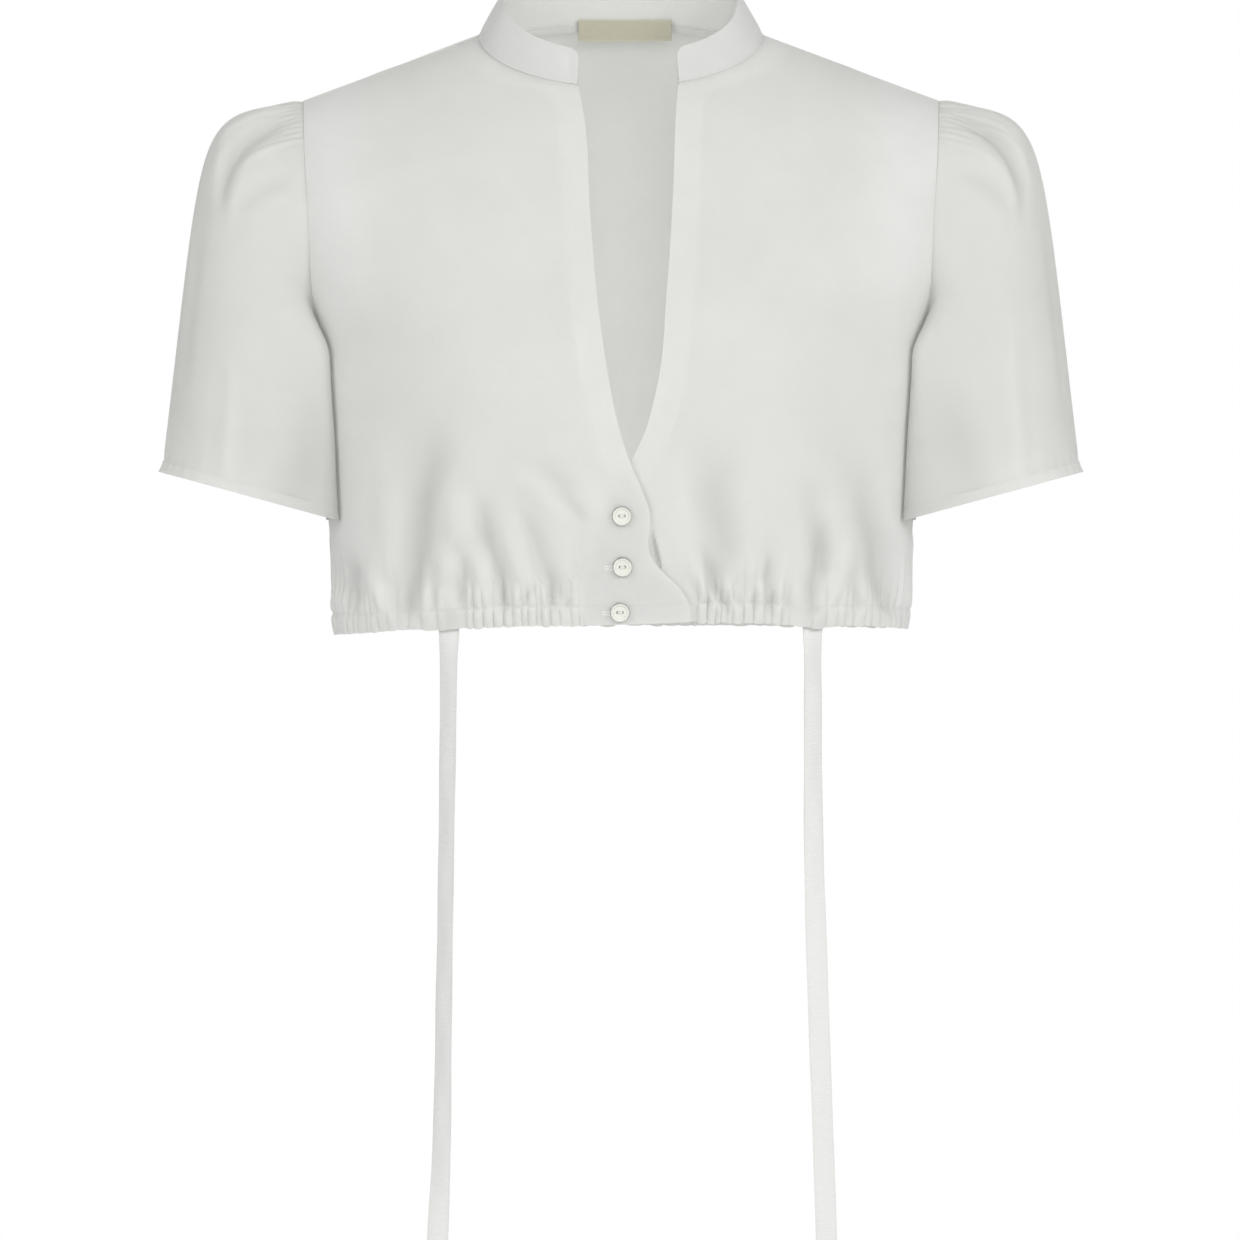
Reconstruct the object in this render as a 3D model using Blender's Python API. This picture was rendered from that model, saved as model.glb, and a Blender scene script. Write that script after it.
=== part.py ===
# A cropped dirndl blouse with a stand-up collar, a deep V front and short gathered sleeves.
# Metres, +Z up, the front faces -Y. The origin lies between the shoulders, level with the
# side points of the neck. Every cloth piece is a thin wall, worked out from the sizes below.
import math

import bmesh
import bpy
import numpy as np

WALL = 0.0014
COLLAR_WALL = 0.0020
SEAM_GAP = 0.0003

NECK_HALF_WIDTH = 0.0845
NECK_FRONT_DROP = 0.031
NECK_BACK_RISE = 0.007
NECK_BACK_DIP = 0.006
NECK_ROUNDING = 0.026
SHOULDER_HALF_WIDTH = 0.1905
SHOULDER_HEIGHT = -0.0392
SHOULDER_SET_BACK = 0.005
UNDERARM_HEIGHT = -0.188
HEM_HEIGHT = -0.353
SECTION_POWER = 2.3

ARMHOLE_FRONT_DEPTH = 0.050
ARMHOLE_BACK_DEPTH = 0.053

CASING_HEIGHT = 0.011
CASING_OUTER = 0.0010
CASING_INNER = 0.0012
OVER_LAYER = 0.0006
UNDER_LAYER = -0.0021
UNDER_LAYER_FADE = 0.025

COLLAR_FRONT_HEIGHT = 0.0215
COLLAR_SIDE_HEIGHT = 0.028
COLLAR_CORNER_RADIUS = 0.0065
COLLAR_SIDE_LEAN = math.radians(30)
COLLAR_END_LEAN = math.radians(15)

CUFF_CENTRE = (0.2233, 0.002, -0.2760)
CUFF_HALF_WIDTH = 0.0518
CUFF_HALF_DEPTH = 0.058
CUFF_TILT = math.tan(math.radians(15.5))
CUFF_HEM = 0.007
CUFF_FLARE = 0.0018
SLEEVE_CLEARANCE = 0.0010
# How far the sleeve's lines run on as they leave the armhole and reach the cuff: first at the
# underarm, then what is added up to the shoulder.
LEAVE_OUT = (0.004, 0.0638)
LEAVE_UP = (-0.032, 0.0247)
ARRIVE_OUT = (0.003, 0.0236)
ARRIVE_UP = (-0.036, -0.1810)
SLEEVE_SIDE_BULGE = 0.010
SLEEVE_HUG = 0.020
CAP_DROP = 0.0010
CAP_GATHERS = 15
CAP_GATHER_HEIGHT = 0.0011
CAP_GATHER_LENGTH = 0.030
CAP_GATHER_SPREAD = 0.68

BUTTON_RADIUS = 0.0058
BUTTON_THICKNESS = 0.0024
BUTTON_HOLE_RADIUS = 0.0008
BUTTON_HOLE_SPACING = 0.0026

RIBBON_WIDTH = 0.0128
RIBBON_WALL = 0.0010
RIBBON_END = -0.756
RIBBON_TUCK = 0.009

LABEL_WIDTH = 0.0557
LABEL_HEIGHT = 0.0129
LABEL_WALL = 0.0010
LABEL_CENTRE = (0.0024, 0.0038)

LINEN = (0.86, 0.86, 0.84)
WOVEN_TAPE = (0.87, 0.87, 0.85)
SHELL_CREAM = (0.87, 0.88, 0.83)
LABEL_CREAM = (0.70, 0.68, 0.58)


def read_table(columns, *rows):
    values = np.array(rows, dtype=float)
    values = values[np.argsort(values[:, 0])]
    return {name: values[:, index] for index, name in enumerate(columns)}


# Half width and depths of the body at each height.
BODY = read_table(
    ("height", "half_width", "front", "back"),
    (0.012, 0.181, 0.056, 0.071),
    (-0.030, 0.181, 0.066, 0.081),
    (-0.060, 0.181, 0.077, 0.089),
    (-0.100, 0.181, 0.092, 0.096),
    (-0.150, 0.181, 0.108, 0.100),
    (-0.188, 0.181, 0.116, 0.100),
    (-0.230, 0.1780, 0.120, 0.098),
    (-0.280, 0.1755, 0.117, 0.094),
    (-0.320, 0.1724, 0.109, 0.089),
    (-0.358, 0.1704, 0.102, 0.085),
)

# How far out the armhole seam lies at each height.
ARMHOLE = read_table(
    ("height", "x"),
    (-0.188, 0.1810),
    (-0.165, 0.1840),
    (-0.113, 0.1870),
    (-0.070, 0.1895),
    (-0.0392, 0.1905),
)

# Front edge of each front, from the collar's end down to the hem.
RIGHT_EDGE = read_table(
    ("height", "x"),
    (-0.0295, -0.0260),
    (-0.0460, -0.0225),
    (-0.0640, -0.0204),
    (-0.0990, -0.0190),
    (-0.1340, -0.0164),
    (-0.1700, -0.0128),
    (-0.2050, -0.0076),
    (-0.2310, -0.0023),
    (-0.2570, 0.0056),
    (-0.2730, 0.0124),
    (-0.2860, 0.0170),
    (-0.2970, 0.0173),
    (-0.3070, 0.0162),
    (-0.3140, 0.0185),
    (-0.3220, 0.0246),
    (-0.3320, 0.0346),
    (-0.3410, 0.0400),
    (-0.3600, 0.0408),
)
LEFT_EDGE = read_table(
    ("height", "x"),
    (-0.0285, 0.0344),
    (-0.0460, 0.0329),
    (-0.0820, 0.0317),
    (-0.1260, 0.0294),
    (-0.1610, 0.0268),
    (-0.1960, 0.0241),
    (-0.2190, 0.0197),
    (-0.2400, 0.0136),
    (-0.2530, 0.0074),
    (-0.2720, -0.0040),
    (-0.2950, -0.0140),
    (-0.3200, -0.0185),
    (-0.3600, -0.0200),
)

# Bottom edge of the hem.
FRONT_HEM = read_table(
    ("x", "height"),
    (-0.175, -0.3588),
    (-0.150, -0.3576),
    (-0.128, -0.3557),
    (-0.104, -0.3560),
    (-0.084, -0.3541),
    (0.000, -0.3530),
    (0.056, -0.3512),
    (0.094, -0.3520),
    (0.114, -0.3548),
    (0.130, -0.3532),
    (0.175, -0.3553),
)
BACK_HEM = read_table(
    ("x", "height"),
    (-0.175, -0.3575),
    (-0.120, -0.3545),
    (0.000, -0.3530),
    (0.120, -0.3535),
    (0.175, -0.3545),
)

# Gathers along the hem. A station counts from 0 at the side seam to 1 at the centre.
RIGHT_GATHERS = read_table(
    ("start", "end", "waves", "height"),
    (0.015, 0.525, 17, 0.0012),
    (0.585, 0.900, 13, 0.0017),
)
LEFT_GATHERS = read_table(
    ("start", "end", "waves", "height"),
    (0.015, 0.480, 15, 0.0012),
    (0.545, 0.795, 10, 0.0017),
)
BACK_GATHERS = read_table(
    ("start", "end", "waves", "height"),
    (0.015, 0.985, 28, 0.0014),
)

# Soft folds above the hem: a negative depth is a ridge.
FRONT_FOLDS = read_table(
    ("low_x", "low_z", "high_x", "high_z", "width", "depth"),
    (-0.1600, -0.341, -0.1640, -0.318, 0.006, 0.0016),
    (-0.1440, -0.338, -0.1510, -0.306, 0.006, -0.0014),
    (-0.1260, -0.338, -0.1160, -0.256, 0.010, 0.0034),
    (-0.0960, -0.338, -0.0935, -0.308, 0.006, 0.0018),
    (-0.0700, -0.338, -0.0855, -0.282, 0.007, 0.0026),
    (-0.0410, -0.334, -0.0605, -0.282, 0.007, 0.0016),
    (-0.0270, -0.288, -0.0430, -0.262, 0.007, 0.0012),
    (0.0620, -0.330, 0.0565, -0.262, 0.011, 0.0026),
    (0.0885, -0.343, 0.0880, -0.312, 0.006, 0.0020),
    (0.1150, -0.340, 0.1200, -0.282, 0.008, 0.0026),
    (0.1350, -0.338, 0.1270, -0.314, 0.006, -0.0014),
    (0.1580, -0.340, 0.1460, -0.274, 0.009, 0.0026),
)
BACK_FOLDS = read_table(
    ("low_x", "low_z", "high_x", "high_z", "width", "depth"),
    (-0.1520, -0.340, -0.1430, -0.286, 0.009, 0.0026),
    (-0.1180, -0.338, -0.1100, -0.262, 0.011, 0.0032),
    (-0.0800, -0.338, -0.0880, -0.296, 0.008, 0.0020),
    (-0.0470, -0.340, -0.0410, -0.256, 0.011, 0.0030),
    (-0.0140, -0.336, -0.0190, -0.300, 0.007, 0.0016),
    (0.0180, -0.340, 0.0230, -0.268, 0.010, 0.0028),
    (0.0560, -0.338, 0.0480, -0.290, 0.008, 0.0020),
    (0.0900, -0.340, 0.0980, -0.258, 0.011, 0.0032),
    (0.1240, -0.338, 0.1190, -0.298, 0.007, 0.0018),
    (0.1540, -0.340, 0.1450, -0.280, 0.009, 0.0026),
)

# Middle line and turn of each ribbon below the hem.
RIGHT_RIBBON = read_table(
    ("height", "x", "turn"),
    (-0.340, -0.1026, -21),
    (-0.357, -0.1028, -22),
    (-0.368, -0.1030, -34),
    (-0.400, -0.1033, -40),
    (-0.460, -0.1041, -44),
    (-0.578, -0.1059, -43),
    (-0.674, -0.1076, -31),
    (-0.722, -0.1097, -12),
    (-0.760, -0.1110, -6),
)
LEFT_RIBBON = read_table(
    ("height", "x", "turn"),
    (-0.340, 0.1145, 25),
    (-0.357, 0.1146, 26),
    (-0.368, 0.1147, 36),
    (-0.400, 0.1148, 37),
    (-0.482, 0.1153, 28),
    (-0.554, 0.1172, 13),
    (-0.674, 0.1214, 12),
    (-0.722, 0.1230, 4),
    (-0.760, 0.1240, 2),
)

BUTTONS = read_table(
    ("height", "x"),
    (-0.2877, 0.0005),
    (-0.3182, 0.0009),
    (-0.3454, -0.0006),
)

# Heights above the hem of the rows that carry the casing, the gathers and the folds.
GATHER_ROWS = (0.0, 0.0055, CASING_HEIGHT, 0.0165)
FOLD_ROWS = (0.026, 0.038, 0.052, 0.068, 0.086)
PLAIN_ROWS = (0.108, 0.134, UNDERARM_HEIGHT - HEM_HEIGHT)
INNER_ROWS = (0.0, CASING_HEIGHT, 0.0165)
UPPER_ROWS = 11
NECK_SHARE = 0.60


def smooth_read(table, key, name, at):
    """A smooth curve through a table's points."""
    xs = table[key]
    ys = table[name]
    slopes = np.gradient(ys, xs)
    at = np.clip(at, xs[0], xs[-1])
    index = np.clip(np.searchsorted(xs, at) - 1, 0, len(xs) - 2)
    span = xs[index + 1] - xs[index]
    t = (at - xs[index]) / span
    rise = ys[index + 1] - ys[index]
    bend_a = slopes[index] * span - rise
    bend_b = rise - slopes[index + 1] * span
    return ys[index] + t * rise + t * (1 - t) * ((1 - t) * bend_a + t * bend_b)


def smooth_step(t):
    t = np.clip(t, 0.0, 1.0)
    return t * t * (3 - 2 * t)


def unit(vectors):
    return vectors / np.maximum(np.linalg.norm(vectors, axis=-1, keepdims=True), 1e-12)


def arc_lengths(points):
    steps = np.linalg.norm(np.diff(points, axis=0), axis=1)
    return np.concatenate([[0.0], np.cumsum(steps)])


def shoulder_line(x):
    """Height of the shoulder seam, rounded over inside the neck."""
    slope = SHOULDER_HEIGHT / (SHOULDER_HALF_WIDTH - NECK_HALF_WIDTH)
    inside = 1 - np.clip(np.abs(x) / NECK_HALF_WIDTH, 0, 1) ** 2
    away = np.sqrt(x**2 + (NECK_ROUNDING * inside) ** 2)
    return (away - NECK_HALF_WIDTH) * slope


def centre_y(z):
    return SHOULDER_SET_BACK * smooth_step(
        (z - UNDERARM_HEIGHT) / (SHOULDER_HEIGHT - UNDERARM_HEIGHT)
    )


ARMHOLE_CENTRE = (UNDERARM_HEIGHT + SHOULDER_HEIGHT) / 2
ARMHOLE_HALF = (SHOULDER_HEIGHT - UNDERARM_HEIGHT) / 2


def armhole_sine(z):
    cosine = np.clip((ARMHOLE_CENTRE - z) / ARMHOLE_HALF, -1, 1)
    return np.sqrt(1 - cosine**2) ** 1.25


def section_width(z, face):
    """Half width of the body's section, which above the underarm runs on past the armhole."""
    reach = ARMHOLE_FRONT_DEPTH if face == "front" else ARMHOLE_BACK_DEPTH
    high = np.clip(z, UNDERARM_HEIGHT, SHOULDER_HEIGHT)
    share = reach / smooth_read(BODY, "height", face, high)
    share = share * np.where(high < ARMHOLE_CENTRE, armhole_sine(high), 1.0)
    wide = smooth_read(ARMHOLE, "height", "x", high)
    wide = wide / (1 - share**SECTION_POWER) ** (1 / SECTION_POWER)
    return np.where(z < UNDERARM_HEIGHT, smooth_read(BODY, "height", "half_width", z), wide)


def body_depth(x, z, face):
    """How far the body's surface stands out from its middle plane."""
    across = np.clip(np.abs(x) / section_width(z, face), 0, 1)
    round_off = (1 - across**SECTION_POWER) ** (1 / SECTION_POWER)
    below = np.clip((shoulder_line(x) - z) / ARMHOLE_HALF, 0, 1)
    over_shoulder = np.sqrt(1 - (1 - below) ** 2)
    return smooth_read(BODY, "height", face, z) * round_off * over_shoulder


def body_half_width(y, z):
    """Half width of the body at a distance in front of or behind its middle plane."""
    face = np.where(y < centre_y(z), 0, 1)
    found = []
    for index, name in enumerate(("front", "back")):
        depth = smooth_read(BODY, "height", name, z)
        share = np.clip(np.abs(y - centre_y(z)) / depth, 0, 1)
        wide = section_width(z, name) * (1 - share**SECTION_POWER) ** (1 / SECTION_POWER)
        found.append(np.where(face == index, wide, 0.0))
    return found[0] + found[1]


def section_curve(z, face):
    """A quarter of the section at one height, from the side seam to the centre."""
    angles = np.linspace(0, math.pi / 2, 241)
    wide = float(section_width(np.array(z), face))
    deep = float(smooth_read(BODY, "height", face, np.array(z)))
    x = wide * np.abs(np.cos(angles)) ** (2 / SECTION_POWER)
    y = deep * np.sin(angles) ** (2 / SECTION_POWER)
    return np.stack([x, y], axis=1)


def at_station(z, stations, face):
    """Points of the lower section at stations from the side seam, past the centre too."""
    curve = section_curve(z, face)
    lengths = arc_lengths(curve)
    past = stations > 1
    folded = np.where(past, 2 - stations, stations) * lengths[-1]
    x = np.interp(folded, lengths, curve[:, 0])
    y = np.interp(folded, lengths, curve[:, 1])
    return np.where(past, -x, x), y


def station_of(z, x, face):
    """The station of a point of the lower section near the centre."""
    curve = section_curve(z, face)
    lengths = arc_lengths(curve)
    share = np.interp(-abs(x), -curve[:, 0], lengths) / lengths[-1]
    return float(share if x >= 0 else 2 - share)


def neck_height(angle):
    """Height of the neck seam, which falls to the front and rises to the back."""
    front = np.maximum(np.cos(angle), 0)
    back = np.maximum(-np.cos(angle), 0)
    return (NECK_BACK_RISE + NECK_BACK_DIP) * back**2 - NECK_BACK_DIP * back - NECK_FRONT_DROP * front


def neck_point(angle):
    """A point of the neck seam: 0 at the front centre, a quarter turn at the side."""
    x = NECK_HALF_WIDTH * np.sin(angle)
    front = np.cos(angle) > 0
    z = neck_height(angle)
    y = np.where(front, -body_depth(x, z, "front"), body_depth(x, z, "back"))
    return np.stack([x, y + centre_y(z), z], axis=-1)


class Panel:
    """A front or half a back. Its rows run from the side seam to its edge or centre."""

    def __init__(self, side, face, gathers, folds, hem, edge):
        self.side = side
        self.face = face
        self.gathers = gathers
        self.folds = folds
        self.hem = hem
        self.edge = edge
        if edge is None:
            self.last_station = 1.0
            self.neck_top = NECK_BACK_RISE
        else:
            self.neck_top = edge["height"][-1]
            self.neck_angle = math.asin(abs(edge["x"][-1]) / NECK_HALF_WIDTH)
            self.last_station = self.edge_station(UNDERARM_HEIGHT)

    def edge_station(self, z):
        if self.edge is None:
            return 1.0
        x = float(smooth_read(self.edge, "height", "x", np.array(z))) * self.side
        return station_of(z, x, self.face)

    def inner_boundary(self, share):
        """The free edge and the neck seam, or the centre line, above the underarm."""
        rise = (1 - np.cos(math.pi * share)) / 2
        if self.edge is None:
            z = UNDERARM_HEIGHT + rise * (self.neck_top - UNDERARM_HEIGHT)
            return np.stack([np.zeros_like(z), z], axis=-1)
        up = np.clip(share / NECK_SHARE, 0, 1)
        z = UNDERARM_HEIGHT + up * (self.neck_top - UNDERARM_HEIGHT)
        x = smooth_read(self.edge, "height", "x", z) * self.side
        round_neck = np.clip((share - NECK_SHARE) / (1 - NECK_SHARE), 0, 1)
        angle = self.neck_angle + round_neck * (math.pi / 2 - self.neck_angle)
        on_neck = share > NECK_SHARE
        x = np.where(on_neck, NECK_HALF_WIDTH * np.sin(angle), x)
        z = np.where(on_neck, neck_height(angle), z)
        return np.stack([x, z], axis=-1)

    def top_boundary(self, along):
        """The shoulder seam, and for the back the neck seam after it."""
        if self.edge is None:
            seam = np.clip(along * 2, 0, 1)
            angle = math.pi / 2 * (1 + np.clip(along * 2 - 1, 0, 1))
            x = SHOULDER_HALF_WIDTH + seam * (NECK_HALF_WIDTH - SHOULDER_HALF_WIDTH)
            x = np.where(along > 0.5, NECK_HALF_WIDTH * np.sin(angle), x)
            z = np.where(along > 0.5, neck_height(angle), shoulder_line(x))
            return np.stack([x, z], axis=-1)
        x = SHOULDER_HALF_WIDTH + along * (NECK_HALF_WIDTH - SHOULDER_HALF_WIDTH)
        return np.stack([x, shoulder_line(x)], axis=-1)

    def armhole_boundary(self, share):
        z = ARMHOLE_CENTRE - ARMHOLE_HALF * np.cos(math.pi * share)
        return np.stack([smooth_read(ARMHOLE, "height", "x", z), z], axis=-1)

    def upper_plan(self, stations, share):
        """Front view of a row above the underarm, blended from the four boundaries."""
        along = stations / self.last_station
        rise = (1 - math.cos(math.pi * share)) / 2
        share = np.full_like(along, share)
        x, _ = at_station(UNDERARM_HEIGHT, stations, self.face)
        bottom = np.stack([x, np.full_like(x, UNDERARM_HEIGHT)], axis=-1)
        corner_x = at_station(UNDERARM_HEIGHT, np.array([0.0, self.last_station]), self.face)[0]
        corners = np.stack([corner_x, np.full(2, UNDERARM_HEIGHT)], axis=-1)
        tops = self.top_boundary(np.array([0.0, 1.0]))
        outer = self.armhole_boundary(share)
        inner = self.inner_boundary(share)
        part = along[:, None]
        across = (1 - part) * outer + part * inner
        up = (1 - rise) * bottom + rise * self.top_boundary(along)
        low = (1 - part) * corners[0] + part * corners[1]
        high = (1 - part) * tops[0] + part * tops[1]
        return across + up - (1 - rise) * low - rise * high

    def middle(self, stations, row):
        """Middle of the cloth: rows up to 1 lie below the underarm, up to 2 above it."""
        if row <= 1:
            full = UNDERARM_HEIGHT - HEM_HEIGHT
            nominal = HEM_HEIGHT + row * full
            x, depth = at_station(nominal, stations, self.face)
            hem = smooth_read(self.hem, "x", "height", x * self.side)
            z = hem + row * (UNDERARM_HEIGHT - hem)
            middle_y = np.zeros_like(z)
        else:
            plan = self.upper_plan(stations, row - 1)
            x = plan[:, 0]
            z = plan[:, 1]
            depth = body_depth(x, z, self.face)
            middle_y = centre_y(z)
        away = -1.0 if self.face == "front" else 1.0
        depth = np.maximum(depth, 0.7 * SEAM_GAP)
        return np.stack([x * self.side, middle_y + away * depth, z], axis=-1)

    def normals(self, stations, row):
        step = 0.004
        low = self.middle(stations, max(row - step, 0.0))
        high = self.middle(stations, min(row + step, 2.0))
        last = self.edge_station(HEM_HEIGHT + row * (UNDERARM_HEIGHT - HEM_HEIGHT))
        last = self.last_station if row > 1 else max(last, self.last_station)
        before = self.middle(np.maximum(stations - step, 0.0), row)
        after = self.middle(np.minimum(stations + step, last + step), row)
        turn = -self.side if self.face == "front" else self.side
        return turn * unit(np.cross(after - before, high - low))

    def fold_depth(self, points):
        """How far the folds push the cloth in at points of the panel."""
        total = np.zeros(len(points))
        table = self.folds
        for index in range(len(table["depth"])):
            low_z = table["low_z"][index]
            high_z = table["high_z"][index]
            rise = (points[:, 2] - low_z) / (high_z - low_z)
            x = table["low_x"][index] + rise * (table["high_x"][index] - table["low_x"][index])
            across = (points[:, 0] - x) / table["width"][index]
            fade = smooth_step((rise + 0.35) / 0.45) * smooth_step((1.35 - rise) / 0.75)
            total += table["depth"][index] * np.exp(-across**2) * fade
        return total

    def layer_offset(self, points):
        """The right front lies over the left front below the V."""
        if self.edge is None:
            return np.zeros(len(points))
        if self.side > 0:
            to_edge = points[:, 0] - smooth_read(RIGHT_EDGE, "height", "x", points[:, 2])
            return UNDER_LAYER * smooth_step(1 - to_edge / UNDER_LAYER_FADE)
        low = smooth_step((-0.225 - points[:, 2]) / 0.03)
        return OVER_LAYER * smooth_step((points[:, 0] + 0.08) / 0.04) * low

    def gather_height(self, stations, above_hem):
        """Height of the small gathers over the casing and just above it."""
        total = np.zeros(len(stations))
        window = np.interp(
            above_hem,
            (0.0, 0.0055, CASING_HEIGHT, 0.0165, 0.030),
            (0.55, 1.0, 0.45, 0.75, 0.0),
        )
        table = self.gathers
        for index in range(len(table["waves"])):
            start = table["start"][index]
            end = table["end"][index]
            phase = (stations - start) / (end - start) * table["waves"][index]
            inside = (phase >= 0) & (phase <= table["waves"][index])
            uneven = 1 + 0.22 * np.sin(7.3 * np.floor(phase) + 2.1 * index)
            wave = np.abs(np.sin(math.pi * phase)) ** 0.7
            total += np.where(inside, wave * uneven * table["height"][index], 0.0)
        return total * window

    def gather_stations(self, last):
        """Three stations for each gather, and a few along the smooth stretches."""
        found = [0.0]
        table = self.gathers
        for index in range(len(table["waves"])):
            count = int(table["waves"][index]) * 3
            found.extend(np.linspace(table["start"][index], table["end"][index], count + 1))
        smooth_count = max(2, int(round((last - found[-1]) / 0.028)))
        if last - found[-1] > 0.01:
            found.extend(np.linspace(found[-1], last, smooth_count + 1)[1:])
        found[-1] = last
        return np.array(found)

    def row_points(self, stations, row, outer, above_hem):
        middle = self.middle(stations, row)
        normals = self.normals(stations, row)
        casing = smooth_step((0.0165 - above_hem) / 0.005)
        away = self.layer_offset(middle)
        away = away - self.fold_depth(middle) * smooth_step(above_hem / 0.012)
        if outer:
            away = away + WALL / 2 + (CASING_OUTER - WALL / 2) * casing
            away = away + self.gather_height(stations, above_hem)
        else:
            away = away - WALL / 2 - (CASING_INNER - WALL / 2) * casing
        return middle + normals * away[:, None]

    def rows(self, outer):
        """The rows of one skin, as (row share, stations, points)."""
        full = UNDERARM_HEIGHT - HEM_HEIGHT
        found = []
        low = GATHER_ROWS if outer else INNER_ROWS
        for above in low + FOLD_ROWS + PLAIN_ROWS:
            row = above / full
            last = self.edge_station(HEM_HEIGHT + above)
            if above in low and outer:
                stations = self.gather_stations(last)
            elif above in low or above in FOLD_ROWS:
                stations = np.linspace(0, last, 35 if outer else 27)
            else:
                stations = np.linspace(0, last, 17 if outer else 15)
            found.append((row, stations, self.row_points(stations, row, outer, above)))
        for index in range(1, UPPER_ROWS + 1):
            row = 1 + index / UPPER_ROWS
            stations = np.linspace(0, self.last_station, 15)
            above = full * row
            found.append((row, stations, self.row_points(stations, row, outer, above)))
        return found


def material_of(name, colour, roughness):
    material = bpy.data.materials.new(name)
    material.use_nodes = True
    shader = material.node_tree.nodes["Principled BSDF"]
    shader.inputs["Base Color"].default_value = (*colour, 1.0)
    shader.inputs["Roughness"].default_value = roughness
    shader.inputs["Metallic"].default_value = 0.0
    return material


def finish_object(name, mesh_data, colour, roughness):
    bmesh.ops.recalc_face_normals(mesh_data, faces=mesh_data.faces)
    mesh = bpy.data.meshes.new(name)
    mesh_data.to_mesh(mesh)
    mesh_data.free()
    mesh.shade_smooth()
    mesh.set_sharp_from_angle(angle=math.radians(50))
    piece = bpy.data.objects.new(name, mesh)
    piece.data.materials.append(material_of(name, colour, roughness))
    bpy.context.scene.collection.objects.link(piece)
    return piece


def zip_lines(mesh_data, first, second):
    """Triangles between two lines of (share, vertex), whose counts may differ."""
    a = 0
    b = 0
    while a < len(first) - 1 or b < len(second) - 1:
        step_a = a < len(first) - 1
        if step_a and b < len(second) - 1:
            step_a = first[a + 1][0] + first[a][0] <= second[b + 1][0] + second[b][0]
        if step_a:
            corners = (first[a][1], first[a + 1][1], second[b][1])
            a += 1
        else:
            corners = (first[a][1], second[b + 1][1], second[b][1])
            b += 1
        if len(set(corners)) == 3:
            mesh_data.faces.new(corners)


def add_skin(mesh_data, rows, closed):
    """Adds the faces of one skin and returns its lines of (share, vertex)."""
    lines = []
    for row, stations, points in rows:
        line = [(s, mesh_data.verts.new(p)) for s, p in zip(stations, points)]
        if closed:
            line.append((stations[0] + 1.0, line[0][1]))
        lines.append(line)
    for low, high in zip(lines, lines[1:]):
        zip_lines(mesh_data, low, high)
    return lines


def add_wall(name, outer_rows, inner_rows, closed, colour, roughness):
    """A closed wall between an outer and an inner skin, with a rim along each edge."""
    mesh_data = bmesh.new()
    outer = add_skin(mesh_data, outer_rows, closed)
    inner = add_skin(mesh_data, inner_rows, closed)
    zip_lines(mesh_data, outer[0], inner[0])
    zip_lines(mesh_data, outer[-1], inner[-1])
    if not closed:
        for end in (0, -1):
            outer_end = [(r[0], line[end][1]) for r, line in zip(outer_rows, outer)]
            inner_end = [(r[0], line[end][1]) for r, line in zip(inner_rows, inner)]
            zip_lines(mesh_data, outer_end, inner_end)
    return finish_object(name, mesh_data, colour, roughness)


def add_front(name, side, gathers, edge):
    panel = Panel(side, "front", gathers, FRONT_FOLDS, FRONT_HEM, edge)
    add_wall(name, panel.rows(True), panel.rows(False), False, LINEN, 0.85)


def add_back(name):
    halves = [
        Panel(side, "back", BACK_GATHERS, BACK_FOLDS, BACK_HEM, None) for side in (-1, 1)
    ]
    skins = []
    for outer in (True, False):
        rows = []
        for left, right in zip(halves[0].rows(outer), halves[1].rows(outer)):
            stations = np.concatenate([left[1], 2 - right[1][::-1][1:]])
            points = np.concatenate([left[2], right[2][::-1][1:]])
            rows.append((left[0], stations, points))
        skins.append(rows)
    add_wall(name, skins[0], skins[1], False, LINEN, 0.85)


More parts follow.
